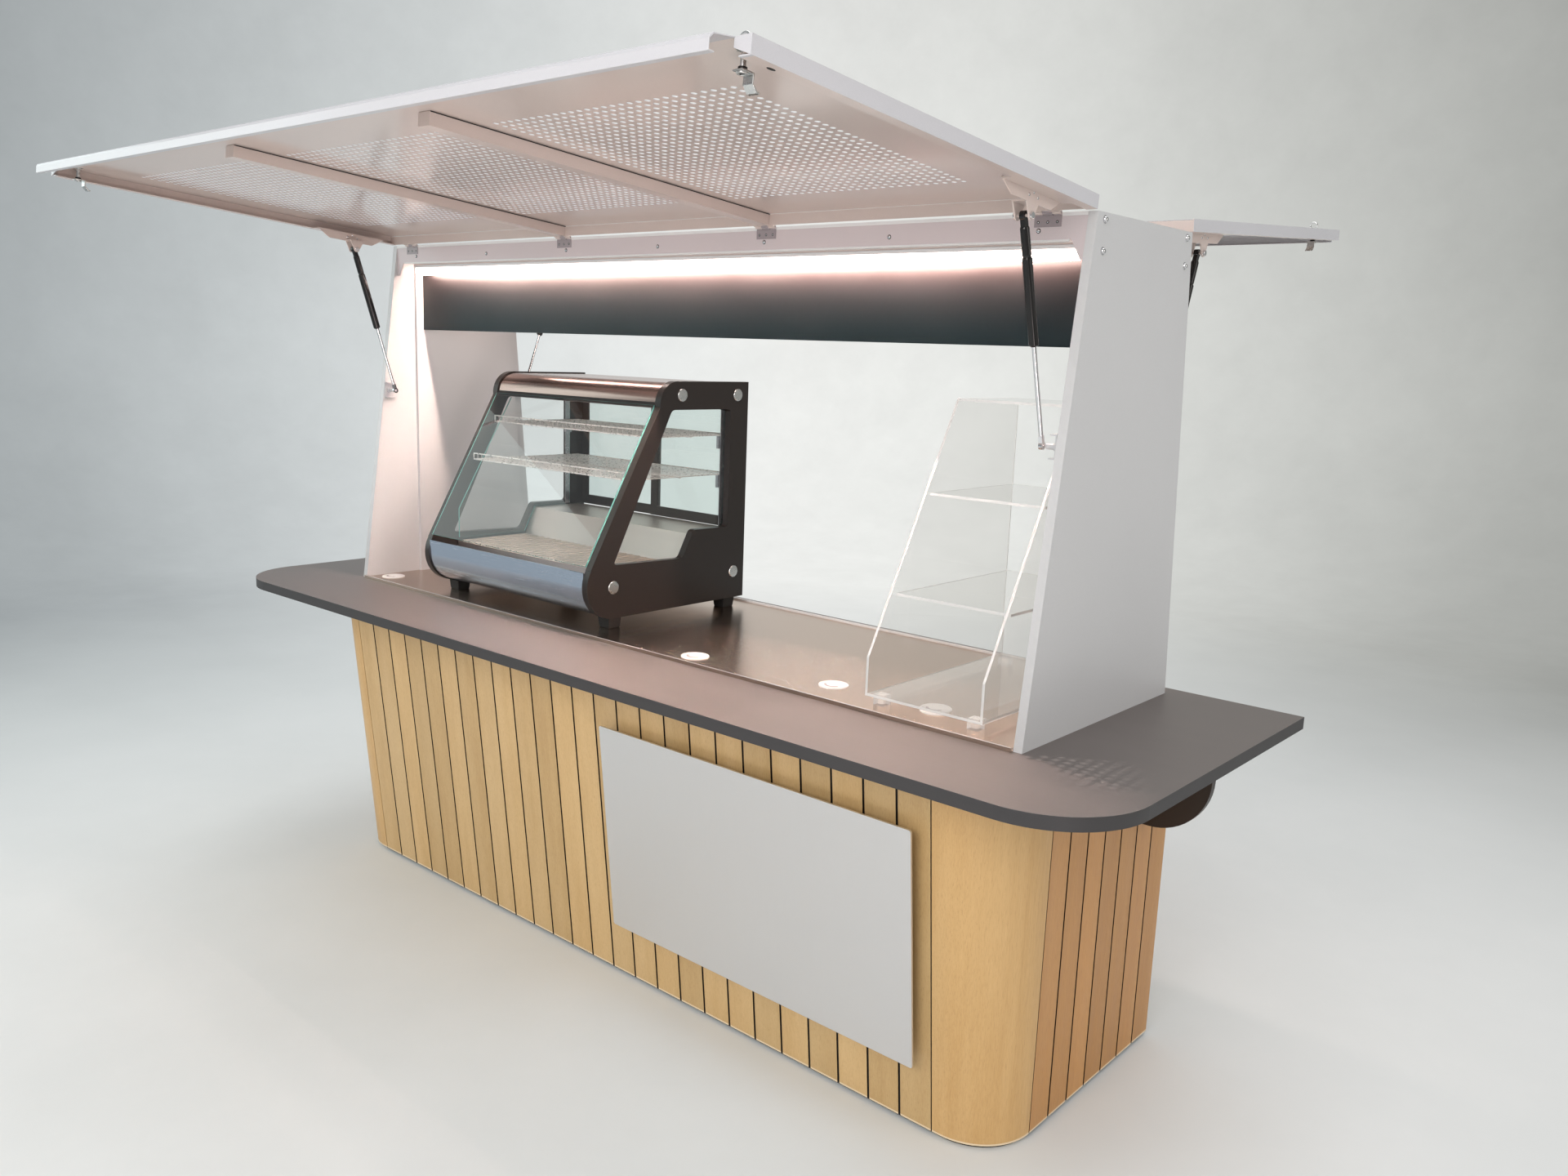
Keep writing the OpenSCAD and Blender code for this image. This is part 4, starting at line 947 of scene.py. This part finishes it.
CLIP_Y = (0.519, 0.543)
CLIP_BELOW = (0.040, 0.003)
COVER_SEAM_ALONG = (-0.006, 0.018)
COVER_SEAM_OUT = (-0.0035, 0.0025)


def make_case_caps():
    """Round steel caps of the glass fittings on both ends."""
    caps = Solids(CASE)
    for side in (-1, 1):
        for y, z in CASE_CAPS:
            caps.turned((side * CASE_HALF, y, z), (side, 0, 0), CASE_CAP, 40)
    caps.piece("case_caps", "root", "case_steel", ["satin_steel"], replaces=["case_fittings"],
               smooth=True)


def make_case_feet():
    """Black rubber blocks, slightly narrower at the bottom."""
    feet = Solids(CASE)
    for x in (-FOOT_X, FOOT_X):
        for y in FOOT_YS:
            feet.loft([[(x - h, y - h, z), (x + h, y - h, z), (x + h, y + h, z), (x - h, y + h, z)]
                       for z, h in FOOT])
    feet.piece("case_feet", "root", "fitting", ["rubber"], replaces=["case_fittings"], bevel=0.001)


def make_case_glass():
    """Sloping front pane, two side panes and the panes of the sliding doors, with green edges."""
    glass = Solids(CASE)
    start = PANE_LOW + PANE_ALONG * PANE_GAPS[0]
    end = PANE_HIGH - PANE_ALONG * PANE_GAPS[1]
    thick = PANE_OUT * GLASS_T
    glass.prism_x([start, end, end + thick, start + thick], -CASE_IN + 0.0005, CASE_IN - 0.0005)
    for side in (-1, 1):
        x0, x1 = sorted((side * (CASE_IN - GLASS_T), side * (CASE_IN - 0.0003)))
        glass.prism_x(SIDE_PANE, x0, x1)
    for face in glass.mesh.faces:
        face.material_index = 0 if face.calc_area() > PANE_FACE_AREA else 1
    panes = glass.piece("case_panes", "root", "glass", ["glass", "glass_edge"], replaces=["case_glass"])
    panes.visible_shadow = False
    doors = Solids(CASE)
    for side, y in DOOR_PANES:
        x0, x1 = sorted(side * edge for edge in DOOR_PANE_X)
        doors.box((x0, y, DOOR_PANE_Z[0]), (x1, y + GLASS_T, DOOR_PANE_Z[1]))
    panes = doors.piece("case_door_panes", "root", "glass", ["door_glass"], replaces=["case_glass"])
    panes.visible_shadow = False


def make_wire_shelf(wires, front, z):
    """Wire shelf with a raised front rail: long rods, and many thin cross wires."""
    lip = z + SHELF_LIP
    middle = (front + SHELF_BACK) / 2
    for y, rod_z in ((front, lip), (front, z), (middle, z - 0.003), (SHELF_BACK - 0.004, z)):
        wires.tube([(-SHELF_HALF, y, rod_z), (SHELF_HALF, y, rod_z)], SHELF_ROD)
    for x in (-SHELF_HALF, SHELF_HALF):
        wires.tube([(x, front, lip), (x, front, z), (x, SHELF_BACK, z)], SHELF_ROD)
    over = z + CROSS_WIRE
    for i in range(1, CROSS_WIRES):
        x = -SHELF_HALF + 2 * SHELF_HALF * i / CROSS_WIRES
        wires.tube([(x, front, lip), (x, front, over), (x, SHELF_BACK, over)], CROSS_WIRE, 6)


def make_case_wires():
    wires = Solids(CASE)
    for front, z in SHELVES:
        make_wire_shelf(wires, front, z)
    wires.piece("case_wire_shelves", "root", "wire", ["wire"], replaces=["case_shelves"], smooth=True)


def make_case_inside():
    """Uprights with the shelf clips, and the dark seam below the top cover."""
    rails = Solids(CASE)
    for side in (-1, 1):
        x0, x1 = sorted(side * edge for edge in UPRIGHT_X)
        rails.box((x0, UPRIGHT_Y[0], UPRIGHT_Z[0]), (x1, UPRIGHT_Y[1], UPRIGHT_Z[1]))
        x0, x1 = sorted(side * edge for edge in CLIP_X)
        for _, z in reversed(SHELVES):
            rails.box((x0, CLIP_Y[0], z - CLIP_BELOW[0]), (x1, CLIP_Y[1], z - CLIP_BELOW[1]))
    rails.piece("case_shelf_clips", "root", "case_steel", ["steel"], bevel=0.0006)
    seam = Solids(CASE)
    low, high = (PANE_HIGH + PANE_ALONG * step for step in COVER_SEAM_ALONG)
    inner, outer = (PANE_OUT * step for step in COVER_SEAM_OUT)
    strip = [low + inner, high + inner, high + outer, low + outer]
    seam.prism_x(strip, -CASE_IN + 0.0004, CASE_IN - 0.0004)
    seam.piece("case_seam", "root", "case_black", ["rubber"])


make_case_caps()
make_case_feet()
make_case_glass()
make_case_wires()
make_case_inside()


# Clear stand, from its own corner: Y from its front, Z from the worktop

STAND = Matrix.Translation((0.955, -0.303, WORKTOP_Z))
STAND_W = 0.305
STAND_DEPTH = 0.566
STAND_H = 0.673
STAND_T = 0.006
STAND_FOOT = 0.020
STAND_SIDE = ((0, STAND_FOOT), (STAND_DEPTH, STAND_FOOT), (STAND_DEPTH, STAND_H), (0.300, STAND_H),
              (0.015, 0.135), (0, 0.108))
STAND_LEVELS = ((0.090, 0.236), (0.200, 0.455), (0.300, STAND_H - STAND_T))
STAND_FACE_AREA = 0.012
BLOCK_SIZE = 0.028
BLOCK_IN_X = 0.016
BLOCK_IN_Y = 0.010


def make_stand():
    """Clear plates whose sawn edges get a painted glow, on clear blocks that also get a painted glow.
    """
    body = Solids(STAND)
    inner = STAND_W / 2 - STAND_T
    for side in (-1, 1):
        x0, x1 = sorted((side * inner, side * (inner + STAND_T)))
        body.prism_x(STAND_SIDE, x0, x1)
    for y, z in (*STAND_LEVELS, (0, STAND_FOOT)):
        body.box((-inner + 0.0004, y, z), (inner - 0.0004, STAND_DEPTH, z + STAND_T))
    for face in body.mesh.faces:
        face.material_index = 0 if face.calc_area() > STAND_FACE_AREA else 1
    plates = body.piece("stand_plates", "root", "clear", ["acrylic", "acrylic_edge_painted_glow"],
                        replaces=["stand_body"])
    plates.visible_shadow = False
    feet = Solids(STAND)
    for x in (-STAND_W / 2 + BLOCK_IN_X, STAND_W / 2 - BLOCK_IN_X - BLOCK_SIZE):
        for y in (BLOCK_IN_Y, STAND_DEPTH - BLOCK_IN_Y - BLOCK_SIZE):
            feet.box((x, y, 0), (x + BLOCK_SIZE, y + BLOCK_SIZE, STAND_FOOT))
    blocks = feet.piece("stand_blocks", "root", "clear", ["acrylic_block_painted_glow"], replaces=["stand_feet"],
                        bevel=0.001)
    blocks.visible_shadow = False


make_stand()


# Stage, light and camera

BRIGHT_SIDE = (-0.638, 0.770, 0.0)
WARM_SIDE = (0.770, 0.638, 0.0)
FLOOR_REACH = 6.2
BOWL_BEND = 2.5
BOWL_TOP = 12.0
BOWL_SIDES = 128
BACKDROP = [(0.55, 0.34), (0.73, 0.44), (0.85, 0.59), (0.93, 0.71), (1.0, 0.86)]
BACKDROP_TINTS = [(0.0, (0.93, 1.01, 1.04)), (0.5, (1.0, 1.01, 0.985)), (1.0, (0.99, 1.01, 0.96))]
BACKDROP_FADE_Z = (1.5, 7.0)
BACKDROP_TOP_SHARE = 0.76
FLOOR_COLORS = ((0.75, 0.765, 0.755), (0.81, 0.82, 0.81))
FLOOR_FADE = (1.9, 5.6)


def backdrop_color(s):
    """Pale mottled backdrop with painted studio light: brightest behind the stall, darker high up,
    cooler on the left and warmer on the right.
    """
    level = s.node("ShaderNodeVectorMath", i0=s.place, i1=(1.0, 1.0, 0.0))
    level.operation = "MULTIPLY"
    unit = s.node("ShaderNodeVectorMath", i0=level.outputs[0])
    unit.operation = "NORMALIZE"
    bright = s.node("ShaderNodeVectorMath", i0=unit.outputs[0], i1=BRIGHT_SIDE)
    bright.operation = "DOT_PRODUCT"
    warm = s.node("ShaderNodeVectorMath", i0=unit.outputs[0], i1=WARM_SIDE)
    warm.operation = "DOT_PRODUCT"
    # Painted studio light: the backdrop's grey and tint follow the direction round the stall, and it
    # darkens high up.
    gray = s.ramp(bright.outputs["Value"], [(at, (value,) * 3) for at, value in BACKDROP])
    tint = s.ramp(s.span(warm.outputs["Value"], -0.8, 0.8, 0.0, 1.0), BACKDROP_TINTS)
    cloud = s.noise(0.55, 6.0, roughness=0.6)
    grit = s.noise(2.6, 8.0, roughness=0.7)
    mottle = s.math("ADD", s.span(cloud, 0.3, 0.7, 0.965, 1.035), s.span(grit, 0.3, 0.7, -0.03, 0.03))
    high = s.span(s.axis(2), *BACKDROP_FADE_Z, 1.0, BACKDROP_TOP_SHARE)
    return s.times(s.times(gray, tint), s.gray(s.math("MULTIPLY", mottle, high)))


def seen_directly(s):
    """1 for rays from the camera, and for what metal and glass show of the backdrop."""
    path = s.node("ShaderNodeLightPath")
    first = s.math("MAXIMUM", path.outputs["Is Camera Ray"], path.outputs["Is Transmission Ray"])
    return s.math("MAXIMUM", first, path.outputs["Is Glossy Ray"])


def shown_as(s, factor, other, color):
    """The surface other, and the backdrop's own colour where factor is 1."""
    far = s.node("ShaderNodeEmission", Color=color)
    mix = s.node("ShaderNodeMixShader", i0=factor, i1=other, i2=far.outputs[0])
    s.links.new(mix.outputs[0], s.nodes["Material Output"].inputs["Surface"])


def turned_sheet(name, profile, material):
    """Sheet turned round the Z axis from a profile of (radius, height)."""
    shape = bmesh.new()
    rings = [[shape.verts.new((r * math.cos(a), r * math.sin(a), z)) for a in angles(BOWL_SIDES)]
             for r, z in profile]
    for low, high in zip(rings, rings[1:]):
        for k in range(BOWL_SIDES):
            j = (k + 1) % BOWL_SIDES
            shape.faces.new((low[k], low[j], high[j], high[k]))
    shape.faces.new(rings[0] if profile[0][0] < profile[-1][0] else rings[-1])
    mesh = bpy.data.meshes.new(name)
    shape.to_mesh(mesh)
    shape.free()
    mesh.materials.append(material)
    made = bpy.data.objects.new(name, mesh)
    bpy.context.scene.collection.objects.link(made)


def make_stage():
    """Pale floor that runs out into a closed bowl of backdrop, which lets the world's light through."""
    s = Shader("floor", FLOOR_COLORS[0], 0.75)
    cloud = s.span(s.noise(0.9, 7.0, roughness=0.62), 0.3, 0.7, 0.0, 1.0)
    s.link(s.mix(cloud, *FLOOR_COLORS), "Base Color")
    s.bump(s.noise(30.0, 6.0), 0.05, 0.002)
    length = s.node("ShaderNodeVectorMath", i0=s.place)
    length.operation = "LENGTH"
    fade = s.span(length.outputs["Value"], *FLOOR_FADE, 0.0, 1.0)
    shown_as(s, s.math("MULTIPLY", fade, seen_directly(s)), s.surface.outputs[0], backdrop_color(s))
    turned_sheet("floor", [(0.5, 0.0), (FLOOR_REACH, 0.0)], s.material)
    b = Shader("backdrop", (0.8, 0.8, 0.8), 0.8)
    clear = b.node("ShaderNodeBsdfTransparent")
    shown_as(b, seen_directly(b), clear.outputs[0], backdrop_color(b))
    bend = [(FLOOR_REACH + BOWL_BEND * math.sin(a), BOWL_BEND * (1 - math.cos(a)))
            for a in (math.pi / 2 * k / 12 for k in range(13))]
    wall = FLOOR_REACH + BOWL_BEND
    dome = [(wall * math.cos(a), wall + (BOWL_TOP - wall) * math.sin(a))
            for a in (math.pi / 2 * k / 10 for k in range(10))]
    turned_sheet("backdrop", bend + dome, b.material)


def make_world():
    world = bpy.data.worlds.new("studio")
    bpy.context.scene.world = world
    world.use_nodes = True
    light = world.node_tree.nodes["Background"]
    light.inputs["Color"].default_value = (0.95, 0.98, 1.0, 1.0)
    light.inputs["Strength"].default_value = 0.62


def add_lamp(data, place, target, power, color):
    """Lamp at a place, turned to a target."""
    data.energy = power
    data.color = color
    lamp = bpy.data.objects.new(data.name, data)
    lamp.location = place
    lamp.rotation_mode = "QUATERNION"
    lamp.rotation_quaternion = (Vector(target) - Vector(place)).to_track_quat("-Z", "Y")
    bpy.context.scene.collection.objects.link(lamp)
    return lamp


def area_light(name, place, target, size, power, color=(1, 1, 1)):
    """Soft rectangle of light, which the camera doesn't see."""
    data = bpy.data.lights.new(name, "AREA")
    data.shape = "RECTANGLE"
    data.size, data.size_y = size
    lamp = add_lamp(data, place, target, power, color)
    lamp.visible_camera = False
    lamp.visible_transmission = False


def spot_light(name, place, target, angle, power, radius, color):
    """Cone of light, whose angle is in degrees."""
    data = bpy.data.lights.new(name, "SPOT")
    data.spot_size = math.radians(angle)
    data.spot_blend = 0.7
    data.shadow_soft_size = radius
    return add_lamp(data, place, target, power, color)


def make_lights():
    """Soft lamps round the stall, and a far one whose light dapples the counter through the holes."""
    area_light("key", (1.8, -5.6, 3.3), (0, 0, 0.9), (4.0, 3.0), 185, (1.0, 0.97, 0.95))
    area_light("right", (6.0, 0.5, 2.6), (1.2, 0, 1.1), (3.0, 3.0), 50, (1.0, 0.93, 0.87))
    area_light("fill", (-5.5, -2.5, 2.6), (0, 0, 1.0), (3.0, 3.0), 46, (0.82, 1.0, 0.98))
    area_light("top", (0.0, 0.5, 5.5), (0, 0, 1.0), (5.0, 4.0), 100)
    area_light("inside", (0.0, 0.06, 1.93), (0.0, 0.06, 0.9), (2.2, 0.08), 6, (1.0, 0.80, 0.72))
    spot_light("low", (2.7, -2.1, 0.30), (-0.75, -0.75, 2.0), 56, 75, 0.4, (1.0, 0.86, 0.84))
    dapple = spot_light("dapple", (-1.70, -1.33, 8.22), (1.20, -0.51, 0.9), 5.2, 3400, 0.03,
                        (1.0, 0.93, 0.88))
    lit = bpy.data.collections.new("dappled")
    lit.objects.link(nodes["countertop"])
    dapple.light_linking.receiver_collection = lit


CAMERA_PLACE = (2.38569, -2.43051, 1.66617)
CAMERA_RIGHT = (0.75276, 0.65733, 0.03565)
CAMERA_UP = (-0.15007, 0.11862, 0.98153)
CAMERA_BACK = (0.64096, -0.74421, 0.18794)
CAMERA_LENS = 28.233


def make_camera():
    """Camera where the photograph was taken."""
    data = bpy.data.cameras.new("camera")
    data.sensor_width = 36.0
    data.lens = CAMERA_LENS
    camera = bpy.data.objects.new("camera", data)
    turn = Matrix((CAMERA_RIGHT, CAMERA_UP, CAMERA_BACK)).transposed().to_4x4()
    camera.matrix_world = Matrix.Translation(CAMERA_PLACE) @ turn
    bpy.context.scene.collection.objects.link(camera)
    bpy.context.scene.camera = camera


make_stage()
make_world()
make_lights()
make_camera()
bpy.context.scene.view_settings.view_transform = "Standard"
